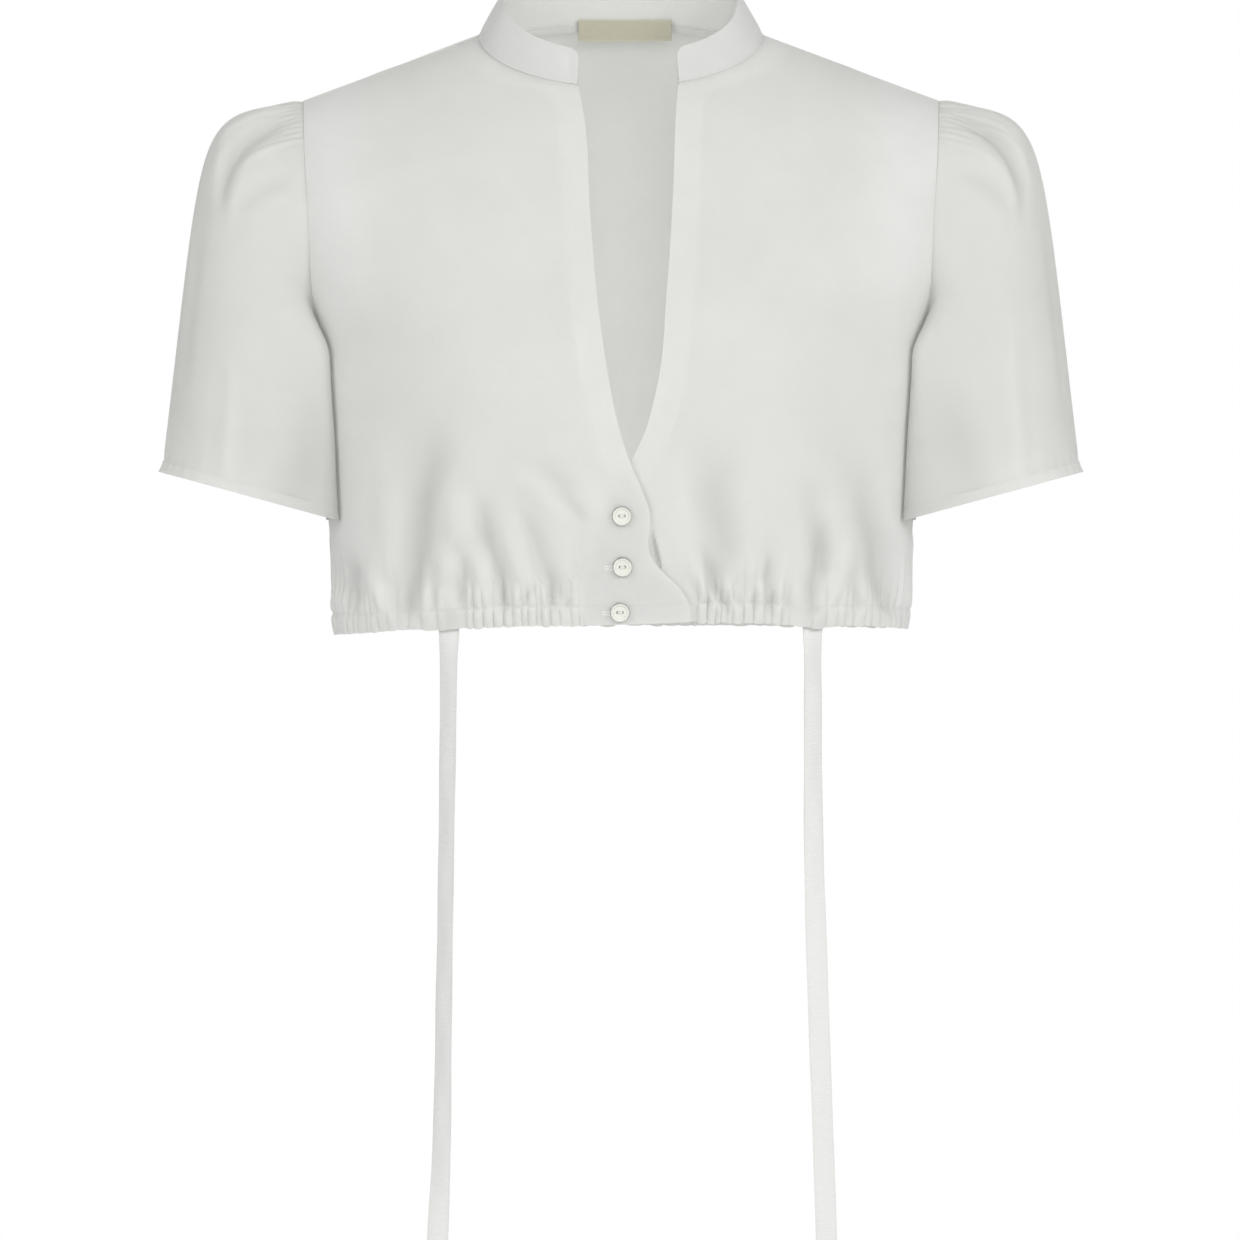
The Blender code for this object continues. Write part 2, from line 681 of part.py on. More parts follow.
class Sleeve:
    """A sleeve from its armhole ring to its tilted cuff. Turn 0 is the underarm, 0.5 the shoulder."""

    def __init__(self, side):
        self.side = side

    def armhole(self, turns):
        angles = 2 * math.pi * turns
        z = ARMHOLE_CENTRE - ARMHOLE_HALF * np.cos(angles)
        x = smooth_read(ARMHOLE, "height", "x", z)
        front = np.sin(angles) >= 0
        y = np.where(front, -body_depth(x, z, "front"), body_depth(x, z, "back"))
        return np.stack([x, y + centre_y(z), z], axis=-1)

    def cuff(self, turns):
        angles = 2 * math.pi * turns
        power = 2 / SECTION_POWER
        across = np.sign(np.cos(angles)) * np.abs(np.cos(angles)) ** power
        deep = np.sign(np.sin(angles)) * np.abs(np.sin(angles)) ** power
        x = CUFF_CENTRE[0] - CUFF_HALF_WIDTH * across
        y = CUFF_CENTRE[1] - CUFF_HALF_DEPTH * deep
        z = CUFF_CENTRE[2] - CUFF_HALF_WIDTH * across * CUFF_TILT
        return np.stack([x, y, z], axis=-1)

    def curves(self, turns, shares):
        """Points down each line of the sleeve, by share of its length."""
        angles = 2 * math.pi * turns
        over = ((1 - np.cos(angles)) / 2) ** 1.8
        start = self.armhole(turns)
        start[:, 2] = start[:, 2] - CAP_DROP * over
        end = self.cuff(turns)
        side = np.sin(angles)
        out = np.stack(
            [
                LEAVE_OUT[0] + LEAVE_OUT[1] * over + SLEEVE_SIDE_BULGE * np.abs(side),
                -SLEEVE_SIDE_BULGE * side,
                LEAVE_UP[0] + LEAVE_UP[1] * over,
            ],
            axis=-1,
        )
        back = np.stack(
            [
                ARRIVE_OUT[0] + ARRIVE_OUT[1] * over,
                np.zeros_like(over),
                ARRIVE_UP[0] + ARRIVE_UP[1] * over,
            ],
            axis=-1,
        )
        steps = np.linspace(0, 1, 81)[:, None, None]
        first = start + out
        second = end - back
        dense = (1 - steps) ** 3 * start + 3 * (1 - steps) ** 2 * steps * first
        dense = dense + 3 * (1 - steps) * steps**2 * second + steps**3 * end
        found = np.empty((len(shares), len(turns), 3))
        for index in range(len(turns)):
            lengths = arc_lengths(dense[:, index])
            wanted = np.array([self.distance(share, lengths[-1]) for share in shares])
            for axis in range(3):
                found[:, index, axis] = np.interp(wanted, lengths, dense[:, index, axis])
        return found

    @staticmethod
    def distance(share, length):
        """Shares up to 1 lie above the turned hem, up to 2 on it."""
        if share <= 1:
            return share * (length - CUFF_HEM)
        return length - (2 - share) * CUFF_HEM

    def clear_of_body(self, points, fade):
        """Moves the points clear of the body's side, and lets the sleeve lie against it."""
        least = body_half_width(points[..., 1], np.minimum(points[..., 2], UNDERARM_HEIGHT))
        least = least + WALL + SEAM_GAP + SLEEVE_CLEARANCE * fade
        near = smooth_step((-0.150 - points[..., 2]) / 0.030)
        below = smooth_step((-0.184 - points[..., 2]) / 0.016)
        away = points[..., 0] - least
        short = np.maximum(-away, 0.0) * near
        hug = np.maximum(away, 0.0) * (1 - smooth_step(away / SLEEVE_HUG)) * below * fade
        moved = points.copy()
        moved[..., 0] = moved[..., 0] + short - hug
        return moved

    def middle(self, turns, shares):
        points = self.curves(turns, shares)
        shares = np.array(shares)
        fade = smooth_step(shares / 0.15)[:, None]
        low = smooth_step((0.30 - np.minimum(turns, 1 - turns)) / 0.30)[None, :]
        start_gap = 1.4 * SEAM_GAP + WALL * (0.45 + 0.55 * low)
        points[..., 0] = points[..., 0] + start_gap * (1 - smooth_step(shares / 0.4)[:, None])
        return self.clear_of_body(points, fade)

    def stations(self, cap):
        if not cap:
            return np.linspace(0, 1, 37)[:-1]
        half = CAP_GATHER_SPREAD / (2 * math.pi)
        ridge = np.linspace(0.5 - half, 0.5 + half, CAP_GATHERS * 3 + 1)
        plain = np.linspace(0, 0.5 - half, 13)[:-1]
        return np.concatenate([plain, ridge, (1 - plain[1:])[::-1]])

    def rows(self, outer):
        shares = (0.0, 0.04, 0.09, 0.17, 0.27, 0.38, 0.5, 0.62, 0.74, 0.87, 1.0, 1.5, 2.0)
        found = []
        for share in shares:
            cap = share <= 0.09 and outer
            turns = self.stations(cap) if outer else np.linspace(0, 1, 29)[:-1]
            step = 0.004
            middle = self.middle(turns, [share])[0]
            low = self.middle(turns, [max(share - 0.02, 0.0)])[0]
            high = self.middle(turns, [min(share + 0.02, 2.0)])[0]
            before = self.middle(turns - step, [share])[0]
            after = self.middle(turns + step, [share])[0]
            normals = -unit(np.cross(after - before, high - low))
            hem = float(smooth_step((share - 0.95) / 0.3))
            away = np.full(len(turns), WALL / 2 + 0.0004 * hem)
            if outer:
                half = CAP_GATHER_SPREAD / (2 * math.pi)
                phase = (turns - 0.5 + half) / (2 * half) * CAP_GATHERS
                inside = (phase > 0) & (phase < CAP_GATHERS)
                wave = np.abs(np.sin(math.pi * phase)) ** 0.8
                near = 1 - smooth_step((share - 0.02) / 0.15)
                away = away + np.where(inside, wave, 0.0) * CAP_GATHER_HEIGHT * near
            else:
                away = -away
            flare = CUFF_FLARE * max(share - 1, 0.0) ** 2
            away = away + flare * (1 - np.cos(2 * math.pi * turns)) / 2
            points = middle + normals * away[:, None]
            points[:, 0] = points[:, 0] * self.side
            found.append((share, turns, points))
        return found


def add_sleeve(name, side):
    sleeve = Sleeve(side)
    add_wall(name, sleeve.rows(True), sleeve.rows(False), True, LINEN, 0.85)


def collar_frame(angle):
    """Base point, upward direction and outward normal of the collar at an angle round the neck."""
    step = 0.004
    base = neck_point(angle)
    along = unit(neck_point(angle + step) - neck_point(angle - step))
    outward = np.stack([-along[:, 1], along[:, 0], np.zeros(len(along))], axis=-1)
    outward = unit(outward)
    outward = outward * np.sign(np.sum(outward[:, :2] * base[:, :2], axis=1))[:, None]
    sideways = np.sin(angle) ** 2
    lean = COLLAR_END_LEAN + (COLLAR_SIDE_LEAN - COLLAR_END_LEAN) * sideways
    up = np.zeros_like(base)
    up[:, 2] = np.cos(lean)
    up = up - outward * np.sin(lean)[:, None]
    normal = outward * np.cos(lean)[:, None]
    normal[:, 2] = np.sin(lean)
    lift = 1.3 * SEAM_GAP + WALL / 2 * (0.5 + 0.5 * sideways) + COLLAR_WALL / 2 * normal[:, 2]
    base = base + np.stack([np.zeros_like(lift), np.zeros_like(lift), lift], axis=-1)
    return base, up, normal


def add_collar(name):
    left_end = math.asin(LEFT_EDGE["x"][-1] / NECK_HALF_WIDTH)
    right_end = math.asin(RIGHT_EDGE["x"][-1] / NECK_HALF_WIDTH)
    dense = np.linspace(left_end, 2 * math.pi + right_end, 721)
    lengths = arc_lengths(neck_point(dense))
    total = lengths[-1]
    near_end = COLLAR_CORNER_RADIUS * np.array([0.0, 0.08, 0.25, 0.5, 0.75, 1.0])
    middle = np.linspace(COLLAR_CORNER_RADIUS, total - COLLAR_CORNER_RADIUS, 41)[1:-1]
    distance = np.concatenate([near_end, middle, total - near_end[::-1]])
    angle = np.interp(distance, lengths, dense)
    base, up, normal = collar_frame(angle)
    to_end = np.minimum(distance, total - distance)
    rise = smooth_step(to_end / 0.075)
    height = COLLAR_FRONT_HEIGHT + (COLLAR_SIDE_HEIGHT - COLLAR_FRONT_HEIGHT) * rise
    inside = np.clip(COLLAR_CORNER_RADIUS - to_end, 0, COLLAR_CORNER_RADIUS)
    height = height - COLLAR_CORNER_RADIUS
    height = height + np.sqrt(COLLAR_CORNER_RADIUS**2 - inside**2)
    skins = []
    for sign in (1, -1):
        rows = []
        for share in (0.0, 0.3, 0.65, 0.93, 1.0):
            half = COLLAR_WALL / 2 * (0.55 if share == 1.0 else 1.0)
            points = base + up * (height * share)[:, None] + normal * (sign * half)
            rows.append((share, distance / total, points))
        skins.append(rows)
    add_wall(name, skins[0], skins[1], False, LINEN, 0.85)


def add_button(name, x, z, depth_shift):
    """A turned two-hole button whose back lies on the right front."""
    profile = (
        (0.0, 0.0),
        (0.80, 0.0),
        (1.00, 0.35),
        (1.00, 0.70),
        (0.90, 1.00),
        (0.76, 0.98),
        (0.60, 0.62),
        (0.0, 0.52),
    )
    mesh_data = bmesh.new()
    line = []
    for radius, height in profile:
        place = (radius * BUTTON_RADIUS, 0.0, height * BUTTON_THICKNESS)
        line.append(mesh_data.verts.new(place))
    edges = [mesh_data.edges.new(pair) for pair in zip(line, line[1:])]
    bmesh.ops.spin(
        mesh_data,
        geom=line + edges,
        cent=(0, 0, 0),
        axis=(0, 0, 1),
        angle=2 * math.pi,
        steps=20,
        use_merge=True,
    )
    bmesh.ops.remove_doubles(mesh_data, verts=mesh_data.verts, dist=0.00002)
    bmesh.ops.recalc_face_normals(mesh_data, faces=mesh_data.faces)
    button = finish_object(name, mesh_data, SHELL_CREAM, 0.35)
    for side in (-1, 1):
        bpy.ops.mesh.primitive_cylinder_add(
            vertices=8,
            radius=BUTTON_HOLE_RADIUS,
            depth=BUTTON_THICKNESS * 3,
            location=(side * BUTTON_HOLE_SPACING / 2, 0, 0),
        )
        cutter = bpy.context.object
        cutter.name = name + ("_hole_left" if side < 0 else "_hole_right")
        cutter.hide_render = True
        cutter.display_type = "WIRE"
        cutter.parent = button
        cut = button.modifiers.new("hole", "BOOLEAN")
        cut.operation = "DIFFERENCE"
        cut.object = cutter
    depth = float(body_depth(np.array(x), np.array(z), "front"))
    step = 0.003
    above = float(body_depth(np.array(x), np.array(z + step), "front"))
    below = float(body_depth(np.array(x), np.array(z - step), "front"))
    tilt = math.atan2(above - below, 2 * step)
    out = depth_shift + SEAM_GAP
    button.location = (x, -depth - out * math.cos(tilt), z - out * math.sin(tilt))
    button.rotation_euler = (math.pi / 2 + tilt, 0, 0)
    return button


def add_ribbon(name, table):
    """A flat ribbon tucked behind the casing, which hangs straight down."""
    start = HEM_HEIGHT + RIBBON_TUCK
    heights = np.linspace(start, RIBBON_END, 24)
    x = smooth_read(table, "height", "x", heights)
    turn = np.radians(smooth_read(table, "height", "turn", heights))
    top = float(abs(x[0]))
    depth = float(body_depth(np.array(top), np.array(HEM_HEIGHT - 0.003), "front"))
    across = RIBBON_WIDTH / 2
    inward = CASING_INNER + SEAM_GAP + RIBBON_WALL / 2 + 0.0006
    y = np.full(len(heights), -depth + inward / math.cos(turn[0]))
    side = np.stack([np.cos(turn), np.sin(turn), np.zeros_like(turn)], axis=-1)
    facing = np.stack([np.sin(turn), -np.cos(turn), np.zeros_like(turn)], axis=-1)
    centre = np.stack([x, y, heights], axis=-1)
    skins = []
    for sign in (1, -1):
        rows = []
        for share, point in enumerate(centre):
            offsets = (-1.0, 0.0, 1.0)
            points = np.array(
                [
                    point + side[share] * across * o + facing[share] * sign * RIBBON_WALL / 2
                    for o in offsets
                ]
            )
            rows.append((share / (len(centre) - 1), np.array([0.0, 0.5, 1.0]), points))
        skins.append(rows)
    add_wall(name, skins[0], skins[1], False, WOVEN_TAPE, 0.75)


def add_label(name):
    """A bare folded label inside the back neck, which follows the back's curve."""
    x = LABEL_CENTRE[0] + LABEL_WIDTH / 2 * np.linspace(-1, 1, 9)
    seam = np.full_like(x, NECK_BACK_RISE)
    depth = body_depth(x, seam, "back") + centre_y(seam)
    inward = COLLAR_WALL / 2 + SEAM_GAP / 2 + LABEL_WALL / 2 - 0.0005
    skins = []
    for sign in (-1, 1):
        rows = []
        for share in (0.0, 0.5, 1.0):
            z = LABEL_CENTRE[1] + LABEL_HEIGHT * (share - 0.5)
            y = depth - inward + sign * LABEL_WALL / 2 - 0.0016 * share
            points = np.stack([x, y, np.full_like(x, z)], axis=-1)
            rows.append((share, np.linspace(0, 1, 9), points))
        skins.append(rows)
    add_wall(name, skins[0], skins[1], False, LABEL_CREAM, 0.8)


def clear_scene():
    for item in list(bpy.data.objects):
        bpy.data.objects.remove(item, do_unlink=True)


clear_scene()
add_front("front_right", -1, RIGHT_GATHERS, RIGHT_EDGE)
add_front("front_left", 1, LEFT_GATHERS, LEFT_EDGE)
add_back("back")
add_sleeve("sleeve_right", -1)
add_sleeve("sleeve_left", 1)
add_collar("collar")
for number, (button_z, button_x) in enumerate(zip(BUTTONS["height"][::-1], BUTTONS["x"][::-1])):
    add_button(f"button_{number + 1}", button_x, button_z, OVER_LAYER + CASING_OUTER)
add_ribbon("ribbon_right", RIGHT_RIBBON)
add_ribbon("ribbon_left", LEFT_RIBBON)
add_label("neck_label")
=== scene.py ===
import math

import bpy
import numpy as np
from mathutils import Matrix, Vector


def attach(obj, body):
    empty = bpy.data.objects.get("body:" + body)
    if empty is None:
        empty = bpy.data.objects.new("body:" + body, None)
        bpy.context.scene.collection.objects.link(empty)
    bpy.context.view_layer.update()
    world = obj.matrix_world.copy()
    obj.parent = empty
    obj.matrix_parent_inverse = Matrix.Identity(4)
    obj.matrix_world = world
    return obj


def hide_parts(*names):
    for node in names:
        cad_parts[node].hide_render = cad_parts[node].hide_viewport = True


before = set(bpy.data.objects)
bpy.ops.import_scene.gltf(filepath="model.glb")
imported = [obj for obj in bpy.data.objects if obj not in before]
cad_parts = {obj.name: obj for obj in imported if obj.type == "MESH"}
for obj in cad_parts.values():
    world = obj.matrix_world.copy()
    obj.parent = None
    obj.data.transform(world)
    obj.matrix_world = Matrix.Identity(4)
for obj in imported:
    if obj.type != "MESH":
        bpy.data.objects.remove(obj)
bpy.ops.object.select_all(action="DESELECT")
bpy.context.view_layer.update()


# Reading curves from tables


def table(columns, *rows):
    values = np.array(rows, dtype=float)
    values = values[np.argsort(values[:, 0])]
    return {name: values[:, index] for index, name in enumerate(columns)}


def smoothRead(rows, key, name, at):
    xs, ys = rows[key], rows[name]
    slopes = np.gradient(ys, xs)
    at = np.clip(at, xs[0], xs[-1])
    index = np.clip(np.searchsorted(xs, at) - 1, 0, len(xs) - 2)
    span = xs[index + 1] - xs[index]
    t = (at - xs[index]) / span
    rise = ys[index + 1] - ys[index]
    bendA = slopes[index] * span - rise
    bendB = rise - slopes[index + 1] * span
    return ys[index] + t * rise + t * (1 - t) * ((1 - t) * bendA + t * bendB)


def smoothStep(t):
    t = np.clip(t, 0.0, 1.0)
    return t * t * (3 - 2 * t)


def unit(vectors):
    return vectors / np.maximum(np.linalg.norm(vectors, axis=-1, keepdims=True), 1e-12)


def arcLengths(points):
    steps = np.linalg.norm(np.diff(points, axis=0), axis=-1)
    return np.concatenate([np.zeros((1,) + steps.shape[1:]), np.cumsum(steps, axis=0)])


# The cut of the body, the same sizes as the solid model

cut = {
    "gap": 0.0003,
    "neckHalfWidth": 0.0845,
    "neckFrontDrop": 0.031,
    "neckBackRise": 0.007,
    "neckBackDip": 0.006,
    "neckRounding": 0.026,
    "shoulderHalfWidth": 0.1905,
    "shoulderHeight": -0.0392,
    "shoulderSetBack": 0.005,
    "underarm": -0.188,
    "hem": -0.353,
    "power": 2.3,
    "frontReach": 0.050,
    "backReach": 0.053,
    "casing": 0.011,
    "overLayer": 0.0006,
    "underLayer": -0.0021,
    "underFade": 0.025,
}

bodyShape = table(
    ("height", "halfWidth", "front", "back"),
    (0.012, 0.181, 0.056, 0.071),
    (-0.030, 0.181, 0.066, 0.081),
    (-0.060, 0.181, 0.077, 0.089),
    (-0.100, 0.181, 0.092, 0.096),
    (-0.150, 0.181, 0.108, 0.100),
    (-0.188, 0.181, 0.116, 0.100),
    (-0.230, 0.1780, 0.120, 0.098),
    (-0.280, 0.1755, 0.117, 0.094),
    (-0.320, 0.1724, 0.109, 0.089),
    (-0.358, 0.1704, 0.102, 0.085),
)

armholeShape = table(
    ("height", "x"),
    (-0.188, 0.1810),
    (-0.165, 0.1840),
    (-0.113, 0.1870),
    (-0.070, 0.1895),
    (-0.0392, 0.1905),
)

rightEdge = table(
    ("height", "x"),
    (-0.0295, -0.0260),
    (-0.0460, -0.0225),
    (-0.0640, -0.0204),
    (-0.0990, -0.0190),
    (-0.1340, -0.0164),
    (-0.1700, -0.0128),
    (-0.2050, -0.0076),
    (-0.2310, -0.0023),
    (-0.2570, 0.0056),
    (-0.2730, 0.0124),
    (-0.2860, 0.0170),
    (-0.2970, 0.0173),
    (-0.3070, 0.0162),
    (-0.3140, 0.0185),
    (-0.3220, 0.0246),
    (-0.3320, 0.0346),
    (-0.3410, 0.0400),
    (-0.3600, 0.0408),
)

leftEdge = table(
    ("height", "x"),
    (-0.0285, 0.0344),
    (-0.0460, 0.0329),
    (-0.0820, 0.0317),
    (-0.1260, 0.0294),
    (-0.1610, 0.0268),
    (-0.1960, 0.0241),
    (-0.2190, 0.0197),
    (-0.2400, 0.0136),
    (-0.2530, 0.0074),
    (-0.2720, -0.0040),
    (-0.2950, -0.0140),
    (-0.3200, -0.0185),
    (-0.3600, -0.0200),
)

frontHem = table(
    ("x", "height"),
    (-0.175, -0.3588),
    (-0.150, -0.3576),
    (-0.128, -0.3557),
    (-0.104, -0.3560),
    (-0.084, -0.3541),
    (0.000, -0.3530),
    (0.056, -0.3512),
    (0.094, -0.3520),
    (0.114, -0.3548),
    (0.130, -0.3532),
    (0.175, -0.3553),
)

backHem = table(
    ("x", "height"),
    (-0.175, -0.3575),
    (-0.120, -0.3545),
    (0.000, -0.3530),
    (0.120, -0.3535),
    (0.175, -0.3545),
)

armCentre = (cut["underarm"] + cut["shoulderHeight"]) / 2
armHalf = (cut["shoulderHeight"] - cut["underarm"]) / 2


def shoulderLine(x):
    slope = cut["shoulderHeight"] / (cut["shoulderHalfWidth"] - cut["neckHalfWidth"])
    inside = 1 - np.clip(np.abs(x) / cut["neckHalfWidth"], 0, 1) ** 2
    away = np.sqrt(x**2 + (cut["neckRounding"] * inside) ** 2)
    return (away - cut["neckHalfWidth"]) * slope


def centreY(z):
    rise = (z - cut["underarm"]) / (cut["shoulderHeight"] - cut["underarm"])
    return cut["shoulderSetBack"] * smoothStep(rise)


def sectionWidth(z, face):
    reach = cut["frontReach"] if face == "front" else cut["backReach"]
    high = np.clip(z, cut["underarm"], cut["shoulderHeight"])
    share = reach / smoothRead(bodyShape, "height", face, high)
    cosine = np.clip((armCentre - high) / armHalf, -1, 1)
    share = share * np.where(high < armCentre, np.sqrt(1 - cosine**2) ** 1.25, 1.0)
    wide = smoothRead(armholeShape, "height", "x", high)
    wide = wide / (1 - share ** cut["power"]) ** (1 / cut["power"])
    return np.where(z < cut["underarm"], smoothRead(bodyShape, "height", "halfWidth", z), wide)


def bodyDepth(x, z, face):
    power = cut["power"]
    across = np.clip(np.abs(x) / sectionWidth(z, face), 0, 1)
    roundOff = (1 - across**power) ** (1 / power)
    below = np.clip((shoulderLine(x) - z) / armHalf, 0, 1)
    overShoulder = np.sqrt(1 - (1 - below) ** 2)
    return smoothRead(bodyShape, "height", face, z) * roundOff * overShoulder


def bodyHalfWidth(y, z):
    power = cut["power"]
    found = 0.0
    for name, chosen in (("front", y < centreY(z)), ("back", y >= centreY(z))):
        depth = smoothRead(bodyShape, "height", name, z)
        share = np.clip(np.abs(y - centreY(z)) / depth, 0, 1)
        wide = sectionWidth(z, name) * (1 - share**power) ** (1 / power)
        found = found + np.where(chosen, wide, 0.0)
    return found


def sectionCurve(z, face):
    angles = np.linspace(0, math.pi / 2, 361)
    wide = float(sectionWidth(np.array(z), face))
    deep = float(smoothRead(bodyShape, "height", face, np.array(z)))
    x = wide * np.abs(np.cos(angles)) ** (2 / cut["power"])
    y = deep * np.sin(angles) ** (2 / cut["power"])
    return np.stack([x, y], axis=1)


def atStation(z, stations, face):
    curve = sectionCurve(z, face)
    lengths = arcLengths(curve)
    past = stations > 1
    folded = np.where(past, 2 - stations, stations) * lengths[-1]
    x = np.interp(folded, lengths, curve[:, 0])
    y = np.interp(folded, lengths, curve[:, 1])
    return np.where(past, -x, x), y


def stationOf(z, x, face):
    curve = sectionCurve(z, face)
    lengths = arcLengths(curve)
    share = np.interp(-abs(x), -curve[:, 0], lengths) / lengths[-1]
    return float(share if x >= 0 else 2 - share)


def neckHeight(angle):
    front, back = np.maximum(np.cos(angle), 0), np.maximum(-np.cos(angle), 0)
    rise = (cut["neckBackRise"] + cut["neckBackDip"]) * back**2
    return rise - cut["neckBackDip"] * back - cut["neckFrontDrop"] * front


def neckPoint(angle):
    x = cut["neckHalfWidth"] * np.sin(angle)
    front = np.cos(angle) > 0
    z = neckHeight(angle)
    y = np.where(front, -bodyDepth(x, z, "front"), bodyDepth(x, z, "back"))
    return np.stack([x, y + centreY(z), z], axis=-1)


# Folds and gathers, placed one by one

frontFolds = table(
    ("lowX", "lowZ", "highX", "highZ", "width", "depth"),
    (-0.1600, -0.341, -0.1640, -0.318, 0.0055, 0.0034),
    (-0.1440, -0.338, -0.1510, -0.306, 0.0060, -0.0020),
    (-0.1370, -0.341, -0.1385, -0.322, 0.0035, 0.0017),
    (-0.1260, -0.338, -0.1160, -0.256, 0.0095, 0.0058),
    (-0.1130, -0.341, -0.1100, -0.318, 0.0035, 0.0020),
    (-0.0960, -0.338, -0.0935, -0.308, 0.0055, 0.0034),
    (-0.0870, -0.342, -0.0885, -0.325, 0.0030, 0.0015),
    (-0.0700, -0.338, -0.0855, -0.282, 0.0065, 0.0046),
    (-0.0585, -0.342, -0.0540, -0.331, 0.0028, 0.0022),
    (-0.0405, -0.342, -0.0412, -0.322, 0.0030, 0.0020),
    (-0.0420, -0.334, -0.0605, -0.282, 0.0070, 0.0027),
    (-0.0325, -0.343, -0.0328, -0.330, 0.0026, 0.0019),
    (-0.0270, -0.288, -0.0430, -0.262, 0.0070, 0.0020),
    (0.0525, -0.343, 0.0540, -0.326, 0.0028, 0.0017),
    (0.0630, -0.346, 0.0500, -0.312, 0.0036, 0.0036),
    (0.0620, -0.325, 0.0565, -0.262, 0.0110, 0.0041),
    (0.0705, -0.342, 0.0715, -0.329, 0.0028, 0.0017),
    (0.0798, -0.342, 0.0792, -0.327, 0.0030, 0.0022),
    (0.0885, -0.346, 0.0878, -0.313, 0.0036, 0.0039),
    (0.0995, -0.342, 0.0992, -0.330, 0.0028, 0.0019),
    (0.1150, -0.340, 0.1210, -0.300, 0.0065, 0.0037),
    (0.1220, -0.318, 0.1160, -0.276, 0.0070, 0.0027),
    (0.1320, -0.344, 0.1290, -0.320, 0.0042, -0.0019),
    (0.1410, -0.342, 0.1390, -0.324, 0.0032, 0.0020),
    (0.1580, -0.340, 0.1460, -0.274, 0.0085, 0.0044),
)

backFolds = table(
    ("lowX", "lowZ", "highX", "highZ", "width", "depth"),
    (-0.1640, -0.342, -0.1600, -0.322, 0.0040, 0.0022),
    (-0.1520, -0.340, -0.1430, -0.286, 0.0085, 0.0042),
    (-0.1320, -0.342, -0.1300, -0.322, 0.0036, 0.0019),
    (-0.1180, -0.338, -0.1100, -0.262, 0.0105, 0.0053),
    (-0.0980, -0.342, -0.1010, -0.318, 0.0040, 0.0022),
    (-0.0800, -0.338, -0.0880, -0.296, 0.0075, 0.0034),
    (-0.0640, -0.343, -0.0625, -0.324, 0.0034, 0.0019),
    (-0.0470, -0.340, -0.0410, -0.256, 0.0105, 0.0050),
    (-0.0300, -0.342, -0.0320, -0.318, 0.0036, 0.0022),
    (-0.0140, -0.336, -0.0190, -0.300, 0.0070, 0.0026),
    (0.0030, -0.342, 0.0020, -0.324, 0.0034, 0.0019),
    (0.0180, -0.340, 0.0230, -0.268, 0.0100, 0.0046),
    (0.0370, -0.342, 0.0350, -0.320, 0.0036, 0.0022),
    (0.0560, -0.338, 0.0480, -0.290, 0.0080, 0.0034),
    (0.0730, -0.342, 0.0750, -0.324, 0.0036, 0.0019),
    (0.0900, -0.340, 0.0980, -0.258, 0.0110, 0.0053),
    (0.1090, -0.342, 0.1080, -0.322, 0.0036, 0.0021),
    (0.1240, -0.338, 0.1190, -0.298, 0.0070, 0.0029),
    (0.1400, -0.342, 0.1420, -0.322, 0.0036, 0.0019),
    (0.1540, -0.340, 0.1450, -0.280, 0.0090, 0.0042),
)

gathers = {
    "right": ((0.015, 0.525, 17, 0.0010), (0.585, 0.900, 14, 0.0017)),
    "left": ((0.015, 0.480, 15, 0.0010), (0.545, 0.795, 11, 0.0018)),
    "back": ((0.015, 0.985, 28, 0.0014),),
}

gatherShape = {
    "lift": 1.75,
    "shortReach": (0.010, 0.020),
    "longReach": (0.012, 0.030),
    "lean": 0.35,
}


def foldPush(points, folds):
    total = np.zeros(points.shape[:-1])
    for index in range(len(folds["depth"])):
        lowZ, highZ = folds["lowZ"][index], folds["highZ"][index]
        rise = (points[..., 2] - lowZ) / (highZ - lowZ)
        sway = 0.12 * folds["width"][index] * np.sin(9 * rise + 1.7 * index)
        x = folds["lowX"][index] + rise * (folds["highX"][index] - folds["lowX"][index]) + sway
        wide = folds["width"][index] * (0.75 + 0.65 * np.clip(rise, 0, 1.4))
        across = (points[..., 0] - x) / wide
        fade = smoothStep((rise + 0.35) / 0.45) * smoothStep((1.45 - rise) / 0.85)
        valley = np.exp(-np.abs(across) ** 1.7)
        banks = np.exp(-((across - 1.9) ** 2)) + np.exp(-((across + 1.9) ** 2))
        total += folds["depth"][index] * (valley - 0.42 * banks) * fade
    return total


